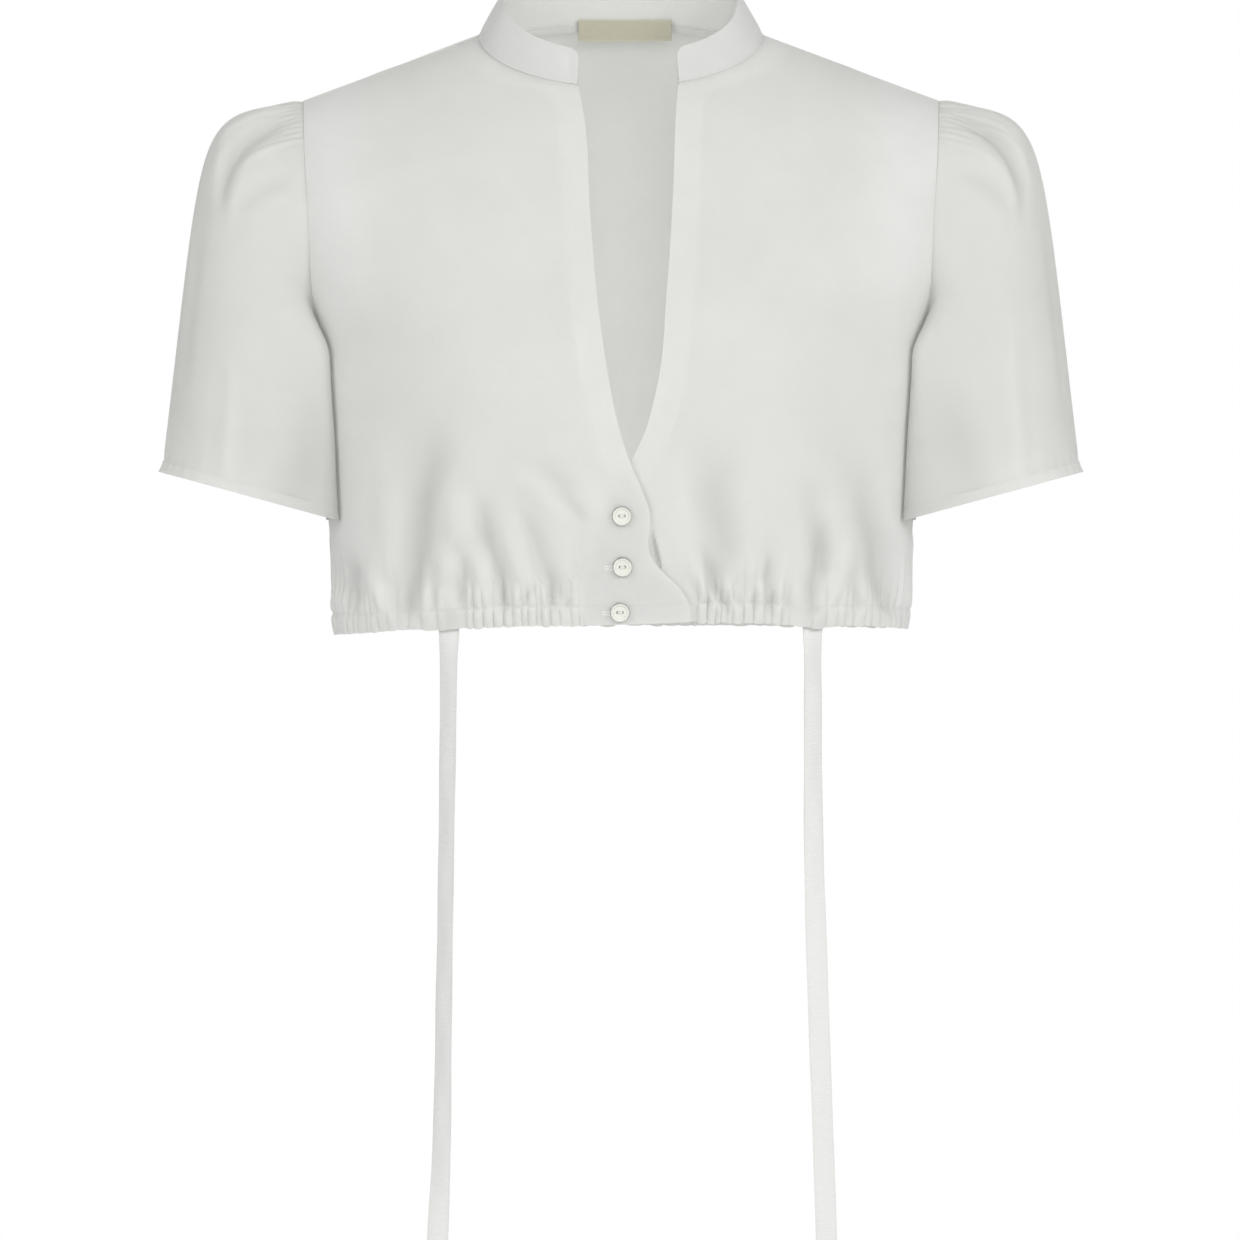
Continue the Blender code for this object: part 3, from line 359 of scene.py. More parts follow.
def gatherLift(stations, above, groups, seed):
    chance = np.random.default_rng(seed)
    lift = np.zeros(stations.shape)
    drop = np.zeros(stations.shape)
    crease = np.zeros(stations.shape)
    for start, end, waves, height in groups:
        parts = chance.uniform(0.45, 1.60, waves)
        bounds = start + (end - start) * np.concatenate([[0], np.cumsum(parts)]) / parts.sum()
        for first, last, part in zip(bounds, bounds[1:], parts):
            half = (last - first) / 2
            size = gatherShape["lift"] * height * part**0.6 * chance.uniform(0.45, 1.25)
            reach = chance.uniform(*gatherShape["shortReach"])
            if chance.uniform() > 0.6:
                reach += chance.uniform(*gatherShape["longReach"])
            lean = chance.uniform(-1, 1) * gatherShape["lean"]
            higher = np.maximum(above - cut["casing"] - 0.002, 0)
            across = np.abs(stations - (first + last) / 2 - lean * higher) / half
            lump = np.sqrt(np.maximum(1 - np.minimum(across, 1) ** 2, 0))
            pleat = np.maximum(1 - across, 0) ** 1.2
            onCasing = smoothStep((0.0118 - above) / 0.0030)
            pinch = np.interp(
                above,
                (0.0, 0.003, 0.0060, 0.0085, 0.0102, 0.0116, 0.0135, 0.0170),
                (0.60, 0.90, 1.0, 0.90, 0.50, 0.40, 0.80, 0.90),
            )
            fade = 1 - smoothStep((above - 0.0150) / reach)
            wave = lump * onCasing + (0.45 * lump + 0.55 * pleat) * (1 - onCasing)
            lift += size * wave * pinch * fade
            drop += 0.35 * size * lump * (1 - smoothStep(above / 0.006))
            # crease weight between gathers, used only for the painted shade in the creases
            crease += (across < 1) * across**4 * pinch * fade * part**0.5
    return lift, drop, crease


# Making a thin sheet from a grid of points

clothThickness = 0.0009


def makeSheet(name, points, plan, thickness, closed=False, crisp=50, hollow=None):
    rows, columns = points.shape[:2]
    grid = np.arange(rows * columns).reshape(rows, columns)
    right = np.roll(grid, -1, axis=1) if closed else grid[:, 1:]
    left = grid if closed else grid[:, :-1]
    quads = np.stack([left[:-1], right[:-1], right[1:], left[1:]], axis=-1).reshape(-1, 4)
    mesh = bpy.data.meshes.new(name)
    mesh.from_pydata(points.reshape(-1, 3).tolist(), [], quads.tolist())
    layer = mesh.uv_layers.new(name="cloth")
    uv = plan.reshape(-1, 2)[quads].copy()
    if closed:
        wide = uv[..., 0].max(axis=1) - uv[..., 0].min(axis=1) > 0.05
        fix = wide[:, None] & (uv[..., 0] < 0.05)
        uv[..., 0] = np.where(fix, uv[..., 0] + plan[..., 0].max() + 0.0015, uv[..., 0])
    layer.data.foreach_set("uv", uv.reshape(-1).astype(np.float32))
    # painted shade per point: how far the cloth colour is darkened to stand in for shading in folds,
    # creases, contact and on the collar
    shade = np.zeros(rows * columns) if hollow is None else hollow.reshape(-1)
    field = mesh.attributes.new("hollow", "FLOAT", "POINT")
    field.data.foreach_set("value", shade.astype(np.float32))
    piece = bpy.data.objects.new(name, mesh)
    bpy.context.scene.collection.objects.link(piece)
    bpy.ops.object.select_all(action="DESELECT")
    bpy.context.view_layer.objects.active = piece
    piece.select_set(True)
    wall = piece.modifiers.new("wall", "SOLIDIFY")
    wall.thickness = thickness
    wall.offset = 0.0
    bpy.ops.object.modifier_apply(modifier="wall")
    bpy.ops.object.shade_smooth_by_angle(angle=math.radians(crisp))
    piece.select_set(False)
    return piece


def gridNormals(points, closed=False):
    if closed:
        along = np.roll(points, -1, axis=1) - np.roll(points, 1, axis=1)
    else:
        along = np.gradient(points, axis=1)
    return unit(np.cross(along, np.gradient(points, axis=0)))


# Fronts and back

panelGrid = {
    "frontColumns": 470,
    "backColumns": 235,
    "hemRows": 28,
    "foldRows": 38,
    "upperRows": 32,
    "neckShare": 0.60,
    "creaseShade": 0.55,
    "liftedEdge": (0.0243, -0.3215, 0.0189, -0.2990),
    "liftedWidth": 0.0017,
    "liftedShade": 2.2,
    "seamAllowance": 0.0035,
    "seamDepth": 0.0011,
}


def edgeStation(edge, side, face, z):
    if edge is None:
        return 1.0
    x = float(smoothRead(edge, "height", "x", np.array(z))) * side
    return stationOf(z, x, face)


def innerBoundary(edge, side, share):
    rise = (1 - math.cos(math.pi * share)) / 2
    if edge is None:
        top = cut["neckBackRise"]
        return np.array([0.0, cut["underarm"] + rise * (top - cut["underarm"])])
    top = edge["height"][-1]
    start = math.asin(abs(edge["x"][-1]) / cut["neckHalfWidth"])
    if share <= panelGrid["neckShare"]:
        z = cut["underarm"] + share / panelGrid["neckShare"] * (top - cut["underarm"])
        return np.array([float(smoothRead(edge, "height", "x", np.array(z))) * side, z])
    part = (share - panelGrid["neckShare"]) / (1 - panelGrid["neckShare"])
    angle = start + part * (math.pi / 2 - start)
    return np.array([cut["neckHalfWidth"] * math.sin(angle), float(neckHeight(angle))])


def topBoundary(edge, along):
    wide, neck = cut["shoulderHalfWidth"], cut["neckHalfWidth"]
    if edge is not None:
        x = wide + along * (neck - wide)
        return np.stack([x, shoulderLine(x)], axis=-1)
    angle = math.pi / 2 * (1 + np.clip(along * 2 - 1, 0, 1))
    x = wide + np.clip(along * 2, 0, 1) * (neck - wide)
    x = np.where(along > 0.5, neck * np.sin(angle), x)
    z = np.where(along > 0.5, neckHeight(angle), shoulderLine(x))
    return np.stack([x, z], axis=-1)


def upperPlan(edge, side, face, along, share):
    last = edgeStation(edge, side, face, cut["underarm"])
    rise = (1 - math.cos(math.pi * share)) / 2
    low = cut["underarm"]
    x, _ = atStation(low, along * last, face)
    bottom = np.stack([x, np.full_like(x, low)], axis=-1)
    corners = np.stack([atStation(low, np.array([0.0, last]), face)[0], np.full(2, low)], axis=-1)
    tops = topBoundary(edge, np.array([0.0, 1.0]))
    z = armCentre - armHalf * math.cos(math.pi * share)
    outer = np.array([float(smoothRead(armholeShape, "height", "x", np.array(z))), z])
    inner = innerBoundary(edge, side, share)
    part = along[:, None]
    across = (1 - part) * outer + part * inner
    up = (1 - rise) * bottom + rise * topBoundary(edge, along)
    lowLine = (1 - part) * corners[0] + part * corners[1]
    highLine = (1 - part) * tops[0] + part * tops[1]
    return across + up - (1 - rise) * lowLine - rise * highLine


def panelPoints(edge, side, face, hem, folds, groups, columns, seed):
    full = cut["underarm"] - cut["hem"]
    heights = np.concatenate(
        [
            np.linspace(0, 0.026, panelGrid["hemRows"]),
            np.linspace(0.026, full, panelGrid["foldRows"])[1:],
        ]
    )
    upper = np.linspace(0, 1, panelGrid["upperRows"] + 1)[1:]
    along = np.linspace(0, 1, columns)
    away = -1.0 if face == "front" else 1.0
    middle, stations, above = [], [], []
    for height in heights:
        row = height / full
        station = along * edgeStation(edge, side, face, cut["hem"] + height)
        x, depth = atStation(cut["hem"] + height, station, face)
        bottom = smoothRead(hem, "x", "height", x * side)
        z = bottom + row * (cut["underarm"] - bottom)
        depth = np.maximum(depth, 0.7 * cut["gap"])
        middle.append(np.stack([x * side, away * depth, z], axis=-1))
        stations.append(station)
        above.append(np.full(columns, height))
    last = edgeStation(edge, side, face, cut["underarm"])
    for share in upper:
        plan = upperPlan(edge, side, face, along, share)
        x, z = plan[:, 0], plan[:, 1]
        depth = np.maximum(bodyDepth(x, z, face), 0.7 * cut["gap"])
        middle.append(np.stack([x * side, centreY(z) + away * depth, z], axis=-1))
        stations.append(along * last)
        above.append(full + (z - cut["underarm"]))
    middle, stations, above = np.array(middle), np.array(stations), np.array(above)
    normals = gridNormals(middle) * (-side if face == "front" else side)
    if edge is None:
        normals[:, -1, 0] = 0.0
        normals = unit(normals)
    push = np.zeros(stations.shape)
    if edge is leftEdge:
        toEdge = middle[..., 0] - smoothRead(rightEdge, "height", "x", middle[..., 2])
        push += cut["underLayer"] * smoothStep(1 - toEdge / cut["underFade"])
    if edge is rightEdge:
        low = smoothStep((-0.225 - middle[..., 2]) / 0.03)
        push += cut["overLayer"] * smoothStep((middle[..., 0] + 0.08) / 0.04) * low
    fold = foldPush(middle, folds) * smoothStep(above / 0.012)
    push -= fold
    lift, drop, crease = gatherLift(stations, above, groups, seed)
    push += lift
    middle[..., 2] -= drop
    casing = smoothStep((0.0150 - above) / 0.003)
    stitched = np.exp(-(((above - cut["casing"]) / 0.0008) ** 2))
    push += 0.0003 * casing - 0.0002 * stitched
    shift = 0 if edge is None else seed
    wander = np.sin(41 * middle[..., 0] + 23 * middle[..., 2] + shift)
    wander += np.sin(67 * middle[..., 2] - 29 * middle[..., 0] + 2 * shift)
    wander += 1.4 * np.sin(24 * middle[..., 0] * side - 17 * middle[..., 2] + 3 * shift)
    calm = smoothStep((0.165 - np.abs(middle[..., 0])) / 0.03)
    push += 0.00030 * wander * smoothStep(above / 0.05) * calm
    underSleeve = smoothStep((np.abs(middle[..., 0]) - 0.142) / 0.012)
    underSleeve = underSleeve * smoothStep((middle[..., 2] + 0.306) / 0.010)
    push -= np.maximum(push, 0) * underSleeve
    # painted shade: fold valleys and the creases between hem gathers are darkened in the base colour
    hollow = np.clip(fold / 0.005, -0.4, 1.0) + panelGrid["creaseShade"] * crease
    # painted shadow: a dark sliver on the left front, under where the right front's edge lifts
    if edge is leftEdge:
        lowX, lowZ, highX, highZ = panelGrid["liftedEdge"]
        rise = (middle[..., 2] - lowZ) / (highZ - lowZ)
        across = (middle[..., 0] - lowX - rise * (highX - lowX)) / panelGrid["liftedWidth"]
        lens = np.sqrt(np.clip(4 * rise * (1 - rise), 0, 1))
        hollow += panelGrid["liftedShade"] * smoothStep((lens - np.abs(across)) / 0.35)
    width = arcLengths(np.swapaxes(middle, 0, 1)).T
    fromEdge = width[:, -1:] - width
    plan = np.stack([fromEdge, above], axis=-1)
    return middle + normals * push[..., None], normals, plan, hollow


def tuckUnder(points, normals, plan, axis, end, reach):
    # seam allowance: the edge rolls in and runs on under the next piece
    edge = points.take(0 if end == 0 else -1, axis=axis)
    after = points.take(1 if end == 0 else -2, axis=axis)
    normal = normals.take(0 if end == 0 else -1, axis=axis)
    flat = plan.take(0 if end == 0 else -1, axis=axis)
    along = unit(edge - after)
    inner = edge - normal * panelGrid["seamDepth"] + along * 0.0002
    outer = inner + along * np.broadcast_to(np.asarray(reach), edge.shape[:1])[:, None]
    extra = [outer, inner] if end == 0 else [inner, outer]
    extra = np.stack(extra, axis=axis)
    flats = np.stack([flat, flat], axis=axis)
    sides = np.stack([normal, normal], axis=axis)
    order = (extra, points) if end == 0 else (points, extra)
    planOrder = (flats, plan) if end == 0 else (plan, flats)
    normalOrder = (sides, normals) if end == 0 else (normals, sides)
    return (
        np.concatenate(order, axis=axis),
        np.concatenate(normalOrder, axis=axis),
        np.concatenate(planOrder, axis=axis),
    )


def makeFront(name, side, edge, groups, seed):
    points, normals, plan, hollow = panelPoints(
        edge, side, "front", frontHem, frontFolds, groups, panelGrid["frontColumns"], seed
    )
    return makeSheet(name, points, plan, clothThickness, hollow=hollow)


def makeBack(name):
    halves = [
        panelPoints(None, side, "back", backHem, backFolds, gathers["back"],
                    panelGrid["backColumns"], 5 + side)
        for side in (-1, 1)
    ]
    points = np.concatenate([halves[0][0], halves[1][0][:, -2::-1]], axis=1)
    normals = np.concatenate([halves[0][1], halves[1][1][:, -2::-1]], axis=1)
    width = arcLengths(np.swapaxes(points, 0, 1)).T
    above = np.concatenate([halves[0][2], halves[1][2][:, -2::-1]], axis=1)[..., 1]
    hollow = np.concatenate([halves[0][3], halves[1][3][:, -2::-1]], axis=1)
    plan = np.stack([width, above], axis=-1)
    onShoulder = np.abs(points[-1, :, 0]) > cut["neckHalfWidth"] + 0.0005
    reach = np.where(onShoulder, panelGrid["seamAllowance"], 0.0003)
    points, normals, plan = tuckUnder(points, normals, plan, 0, 1, reach)
    for end in (0, 1):
        points, normals, plan = tuckUnder(
            points, normals, plan, 1, end, panelGrid["seamAllowance"]
        )
    hollow = np.pad(hollow, ((0, 2), (2, 2)), mode="edge")
    return makeSheet(name, points, plan, clothThickness, hollow=hollow)


# Sleeves

sleeveShape = {
    "cuffCentre": (0.2233, 0.002, -0.2760),
    "cuffHalfWidth": 0.0518,
    "cuffHalfDepth": 0.058,
    "cuffTilt": math.tan(math.radians(15.5)),
    "hem": 0.007,
    "flare": 0.0018,
    "clearance": 0.0004,
    "wall": 0.0009,
    "touch": 0.013,
    "hug": 0.042,
    "innerShade": 1.9,
    "columns": 460,
    "rows": 84,
    "capGathers": 24,
    "capSpread": 0.85,
    "capDrop": 0.0010,
    "capHeight": 0.0017,
}

# turn: 0 underarm, 0.25 front, 0.5 shoulder; share: 0 seam, 1 hem stitch line
sleeveFolds = {
    "right": table(
        ("turn", "low", "high", "lean", "width", "depth"),
        (0.205, 0.45, 1.25, 0.02, 0.017, 0.0016),
        (0.290, 0.55, 1.25, -0.02, 0.014, -0.0010),
        (0.330, 0.02, 0.28, 0.03, 0.011, 0.0014),
        (0.398, 0.00, 0.34, -0.04, 0.016, 0.0042),
        (0.452, 0.03, 0.26, -0.02, 0.014, -0.0018),
        (0.415, 0.30, 0.90, 0.00, 0.020, 0.0010),
        (0.120, 0.30, 1.00, 0.03, 0.020, 0.0018),
        (0.640, 0.02, 0.40, 0.05, 0.014, 0.0018),
        (0.740, 0.40, 1.25, -0.02, 0.018, 0.0016),
        (0.860, 0.30, 1.00, -0.02, 0.020, 0.0018),
    ),
    "left": table(
        ("turn", "low", "high", "lean", "width", "depth"),
        (0.225, 0.50, 1.25, 0.02, 0.016, 0.0014),
        (0.300, 0.45, 1.20, -0.02, 0.014, -0.0009),
        (0.345, 0.02, 0.34, 0.03, 0.012, 0.0014),
        (0.402, 0.00, 0.36, -0.05, 0.015, 0.0040),
        (0.455, 0.03, 0.26, -0.02, 0.014, -0.0016),
        (0.430, 0.35, 0.95, 0.00, 0.020, 0.0010),
        (0.110, 0.25, 1.00, 0.03, 0.020, 0.0016),
        (0.655, 0.02, 0.36, 0.04, 0.013, 0.0016),
        (0.720, 0.45, 1.25, -0.02, 0.018, 0.0014),
        (0.870, 0.30, 1.00, -0.02, 0.020, 0.0018),
    ),
}


def armholePoint(turns):
    angles = 2 * math.pi * turns
    z = armCentre - armHalf * np.cos(angles)
    x = smoothRead(armholeShape, "height", "x", z)
    front = np.sin(angles) >= 0
    y = np.where(front, -bodyDepth(x, z, "front"), bodyDepth(x, z, "back"))
    return np.stack([x, y + centreY(z), z], axis=-1)


def cuffPoint(turns):
    angles = 2 * math.pi * turns
    power = 2 / cut["power"]
    across = np.sign(np.cos(angles)) * np.abs(np.cos(angles)) ** power
    deep = np.sign(np.sin(angles)) * np.abs(np.sin(angles)) ** power
    centre = sleeveShape["cuffCentre"]
    x = centre[0] - sleeveShape["cuffHalfWidth"] * across
    y = centre[1] - sleeveShape["cuffHalfDepth"] * deep
    z = centre[2] - sleeveShape["cuffHalfWidth"] * across * sleeveShape["cuffTilt"]
    return np.stack([x, y, z], axis=-1)


def sleeveMiddle(turns, shares):
    angles = 2 * math.pi * turns
    over = ((1 - np.cos(angles)) / 2) ** 1.8
    bulge = np.sin(angles)
    start, end = armholePoint(turns), cuffPoint(turns)
    start[:, 2] -= sleeveShape["capDrop"] * over
    leave = np.stack(
        [0.004 + 0.0638 * over + 0.010 * np.abs(bulge), -0.010 * bulge, -0.032 + 0.0247 * over],
        axis=-1,
    )
    arrive = np.stack([0.003 + 0.0236 * over, 0.0 * bulge, -0.036 - 0.1810 * over], axis=-1)
    steps = np.linspace(0, 1, 121)[:, None, None]
    dense = (1 - steps) ** 3 * start + 3 * (1 - steps) ** 2 * steps * (start + leave)
    dense = dense + 3 * (1 - steps) * steps**2 * (end - arrive) + steps**3 * end
    lengths = arcLengths(dense)
    points = np.empty((len(shares), len(turns), 3))
    for index in range(len(turns)):
        full = lengths[-1, index]
        hem = sleeveShape["hem"]
        wanted = np.where(shares <= 1, shares * (full - hem), full - (2 - shares) * hem)
        for axis in range(3):
            points[:, index, axis] = np.interp(wanted, lengths[:, index], dense[:, index, axis])
    near = smoothStep((0.30 - np.minimum(turns, 1 - turns)) / 0.30)[None, :]
    startGap = cut["gap"] + sleeveShape["wall"] * (0.45 + 0.55 * near)
    points[..., 0] += startGap * (1 - smoothStep(shares / 0.4)[:, None])
    least = bodyHalfWidth(points[..., 1], np.minimum(points[..., 2], cut["underarm"]))
    fade = smoothStep(shares / 0.10)[:, None]
    least = least + sleeveShape["wall"] + cut["gap"] + sleeveShape["clearance"] * fade
    away = points[..., 0] - least
    short = np.maximum(-away, 0.0) * smoothStep((-0.150 - points[..., 2]) / 0.030)
    below = smoothStep((-0.150 - points[..., 2]) / 0.042)
    held = 1 - smoothStep((away - sleeveShape["touch"]) / sleeveShape["hug"])
    hug = np.maximum(away, 0.0) * held * below * fade
    points[..., 0] += short - hug
    points[..., 2] -= hug * sleeveShape["cuffTilt"] * smoothStep(shares / 0.9)[:, None]
    return points


def makeSleeve(name, side, folds, seed):
    chance = np.random.default_rng(seed)
    turns = np.linspace(0, 1, sleeveShape["columns"] + 1)[:-1]
    body = 1 - (1 - np.linspace(0, 1, sleeveShape["rows"])) ** 0.85
    shares = np.concatenate([body, np.linspace(1, 2, 9)[1:]])
    middle = sleeveMiddle(turns, shares)
    normals = -gridNormals(middle, closed=True)
    turn, share = np.meshgrid(turns, shares)
    push = np.zeros(turn.shape)
    hollow = np.zeros(turn.shape)
    spread = sleeveShape["capSpread"] / (2 * math.pi)
    half = spread / sleeveShape["capGathers"]
    for index in range(sleeveShape["capGathers"]):
        centre = 0.5 - spread + half * (2 * index + 1) + chance.uniform(-0.25, 0.25) * half
        size = sleeveShape["capHeight"] * chance.uniform(0.6, 1.3)
        reach = chance.uniform(0.06, 0.13) + 0.14 * (chance.uniform() > 0.75)
        lean = chance.uniform(-0.7, 0.7) * half / 0.1
        across = np.abs(turn - centre - lean * share) / (half * (1 + 1.5 * share))
        lump = np.sqrt(np.maximum(1 - np.minimum(across, 1) ** 2, 0))
        pleat = np.maximum(1 - across, 0)
        soft = smoothStep(share / 0.05)
        wave = lump * (1 - 0.6 * soft) + pleat * 0.6 * soft
        near = 1 - smoothStep((share - 0.01) / reach)
        push += size * wave * near * np.minimum(1, 0.45 + share * 25)
        # painted shade in the creases between cap gathers
        hollow += 0.6 * (across < 1) * across**4 * near
    for index in range(len(folds["turn"])):
        rise = (share - folds["low"][index]) / (folds["high"][index] - folds["low"][index])
        centre = folds["turn"][index] + folds["lean"][index] * (rise - 0.5)
        across = (turn - centre) / folds["width"][index]
        fade = smoothStep(rise / 0.35) * smoothStep((1 - rise) / 0.35)
        valley = np.exp(-np.abs(across) ** 1.9)
        banks = np.exp(-((across - 1.9) ** 2)) + np.exp(-((across + 1.9) ** 2))
        fold = folds["depth"][index] * (valley - 0.3 * banks) * fade
        push -= fold
        # painted shade in the sleeve's fold valleys
        hollow += fold / 0.006
    # painted shade: the sleeve's inner side next to the body, darker towards the hem, stands in for the
    # shade the body throws on it
    inner = smoothStep((0.30 - np.minimum(turn, 1 - turn)) / 0.24)
    hollow += sleeveShape["innerShade"] * inner * smoothStep((share - 0.20) / 0.75)
    hemPart = np.maximum(share - 1, 0)
    push += sleeveShape["flare"] * hemPart**2 * (1 - np.cos(2 * math.pi * turn)) / 2
    push += 0.0003 * smoothStep((share - 0.98) / 0.1)
    push -= 0.0004 * np.exp(-(((share - 1.0) / 0.012) ** 2))
    ripple = np.sin(2 * math.pi * turn * 31 + 2 * np.sin(2 * math.pi * turn * 4 + seed))
    push += 0.00018 * ripple * smoothStep((share - 0.93) / 0.1)
    seam = np.exp(-((np.minimum(turn, 1 - turn) / 0.004) ** 2))
    push -= 0.0005 * seam * smoothStep(share / 0.05)
    resting = smoothStep((0.21 - np.minimum(turn, 1 - turn)) / 0.05) * smoothStep(share / 0.06)
    push -= np.maximum(push, 0) * resting
    points = middle + normals * push[..., None]
    points[..., 0] *= side
    normals[..., 0] *= side
    aroundCuff = arcLengths(np.swapaxes(points, 0, 1)).T
    down = arcLengths(points)
    plan = np.stack([aroundCuff, down[-1:] - down], axis=-1)
    points, normals, plan = tuckUnder(
        points, normals, plan, 0, 0, panelGrid["seamAllowance"]
    )
    hollow = np.pad(hollow, ((2, 0), (0, 0)), mode="edge")
    piece = makeSheet(name, points, plan, clothThickness, closed=True, hollow=hollow)
    if side < 0:
        piece.data.flip_normals()
    return piece


# Collar

collarShape = {
    "thickness": 0.0019,
    "frontHeight": 0.0215,
    "sideHeight": 0.028,
    "corner": 0.0065,
    "sideLean": math.radians(30),
    "endLean": math.radians(15),
    "wall": 0.0014,
    "columns": 300,
    "rows": 18,
    "shade": 0.45,
}


def makeCollar(name):
    leftEnd = math.asin(leftEdge["x"][-1] / cut["neckHalfWidth"])
    rightEnd = math.asin(rightEdge["x"][-1] / cut["neckHalfWidth"])
    dense = np.linspace(leftEnd, 2 * math.pi + rightEnd, 1201)
    lengths = arcLengths(neckPoint(dense))
    total = lengths[-1]
    corner = collarShape["corner"]
    ends = corner * (1 - np.cos(np.linspace(0, math.pi / 2, 14)))
    middlePart = np.linspace(corner, total - corner, collarShape["columns"])[1:-1]
    distance = np.concatenate([ends, middlePart, total - ends[::-1]])
    angle = np.interp(distance, lengths, dense)
    step = 0.004
    base = neckPoint(angle)
    along = unit(neckPoint(angle + step) - neckPoint(angle - step))
    outward = unit(np.stack([-along[:, 1], along[:, 0], np.zeros(len(along))], axis=-1))
    outward *= np.sign(np.sum(outward[:, :2] * base[:, :2], axis=1))[:, None]
    sideways = np.sin(angle) ** 2
    lean = collarShape["endLean"] + (collarShape["sideLean"] - collarShape["endLean"]) * sideways
    up = -outward * np.sin(lean)[:, None]
    up[:, 2] = np.cos(lean)
    normal = outward * np.cos(lean)[:, None]
    normal[:, 2] = np.sin(lean)
    lift = cut["gap"] + (collarShape["wall"] / 2 * (0.5 + 0.5 * sideways)) - 0.0006
    base[:, 2] += lift + 0.001 * normal[:, 2]
    toEnd = np.minimum(distance, total - distance)
    height = collarShape["frontHeight"] + smoothStep(toEnd / 0.075) * (
        collarShape["sideHeight"] - collarShape["frontHeight"]
    )
    inside = np.clip(corner - toEnd, 0, corner)
    height = height - corner + np.sqrt(corner**2 - inside**2)
    shares = 1 - (1 - np.linspace(0, 1, collarShape["rows"])) ** 1.2
    points = base + up * (height * shares[:, None])[..., None]
    wave = np.sin(distance * 150 + 1.3) * 0.5 + np.sin(distance * 67) * 0.6
    wave = wave[None, :] * smoothStep(shares / 0.6)[:, None] * 0.00035
    nearCorner = np.exp(-(((distance[None, :] - (total - 0.006)) / 0.0035) ** 2))
    wave = wave - 0.0009 * nearCorner * np.sin(math.pi * shares)[:, None]
    wave = wave - 0.0004 * np.exp(-((shares[:, None] - 0.06) / 0.05) ** 2)
    points = points + normal * wave[..., None]
    normals = np.broadcast_to(normal, points.shape)
    plan = np.stack(
        [np.broadcast_to(distance, points.shape[:2]), height * shares[:, None]], axis=-1
    )
    points, normals, plan = tuckUnder(points, normals, plan, 0, 0, 0.003)
    # painted shade: the whole collar's cloth colour is darkened by a constant amount
    hollow = np.full(plan.shape[:2], collarShape["shade"])
    return makeSheet(name, points, plan, collarShape["thickness"], crisp=75, hollow=hollow)


# Ribbons and label

ribbonShape = {
    "width": 0.0128,
    "thickness": 0.0007,
    "tuck": 0.009,
    "end": -0.756,
    "rows": 150,
    "columns": 11,
    "back": 0.0026,
}

ribbonLines = {
    "ribbon_right": table(
        ("height", "x", "turn"),
        (-0.340, -0.1026, -21),
        (-0.357, -0.1028, -22),
        (-0.368, -0.1030, -34),
        (-0.400, -0.1033, -40),
        (-0.460, -0.1041, -44),
        (-0.578, -0.1059, -43),
        (-0.674, -0.1076, -31),
        (-0.722, -0.1097, -12),
        (-0.760, -0.1110, -6),
    ),
    "ribbon_left": table(
        ("height", "x", "turn"),
        (-0.340, 0.1145, 25),
        (-0.357, 0.1146, 26),
        (-0.368, 0.1147, 36),
        (-0.400, 0.1148, 37),
        (-0.482, 0.1153, 28),
        (-0.554, 0.1172, 13),
        (-0.674, 0.1214, 12),
        (-0.722, 0.1230, 4),
        (-0.760, 0.1240, 2),
    ),
}


def makeRibbon(name):
    line = ribbonLines[name]
    start = cut["hem"] + ribbonShape["tuck"]
    heights = np.linspace(start, ribbonShape["end"], ribbonShape["rows"])
    x = smoothRead(line, "height", "x", heights)
    turn = np.radians(smoothRead(line, "height", "turn", heights))
    depth = float(bodyDepth(np.array(abs(x[0])), np.array(cut["hem"] - 0.003), "front"))
    y = -depth + ribbonShape["back"] / math.cos(turn[0])
    across = np.linspace(-0.5, 0.5, ribbonShape["columns"])
    side = np.stack([np.cos(turn), np.sin(turn), np.zeros_like(turn)], axis=-1)
    facing = np.stack([np.sin(turn), -np.cos(turn), np.zeros_like(turn)], axis=-1)
    centre = np.stack([x, np.full_like(x, y), heights], axis=-1)
    points = centre[:, None] + side[:, None] * across[None, :, None] * ribbonShape["width"]
    cup = 0.0005 * (1 - (2 * across) ** 2)[None, :] * np.ones((len(heights), 1))
    cup = cup + 0.00025 * np.sin(90 * heights)[:, None] * np.sin(5 * across)[None, :]
    points = points + facing[:, None] * cup[..., None]
    down = heights[0] - heights
    plan = np.stack(
        [np.broadcast_to((across + 0.5) * ribbonShape["width"], points.shape[:2]),
         np.broadcast_to(down[:, None], points.shape[:2])],
        axis=-1,
    )
    return makeSheet(name + "_tape", points, plan, ribbonShape["thickness"])


labelShape = {"width": 0.0557, "height": 0.0129, "x": 0.0024, "z": 0.0038, "thickness": 0.0006}


def makeLabel(name):
    across = np.linspace(-0.5, 0.5, 61)
    up = np.linspace(-0.5, 0.5, 17)
    x = labelShape["x"] + across * labelShape["width"]
    seam = np.full_like(x, cut["neckBackRise"])
    y = bodyDepth(x, seam, "back") + centreY(seam) - 0.00115
    share = up[:, None] + 0.5
    inward = 0.0016 * share + 0.0002 * np.sin(9 * across)[None, :] * (1 - share)
    points = np.stack(
        [
            np.broadcast_to(x, (17, 61)),
            y[None, :] - inward,
            np.broadcast_to(labelShape["z"] + up[:, None] * labelShape["height"], (17, 61)),
        ],
        axis=-1,
    )
    plan = np.stack(
        [np.broadcast_to((across + 0.5) * labelShape["width"], (17, 61)),
         np.broadcast_to((up[:, None] + 0.5) * labelShape["height"], (17, 61))],
        axis=-1,
    )
    return makeSheet(name, points, plan, labelShape["thickness"])


# Buttons

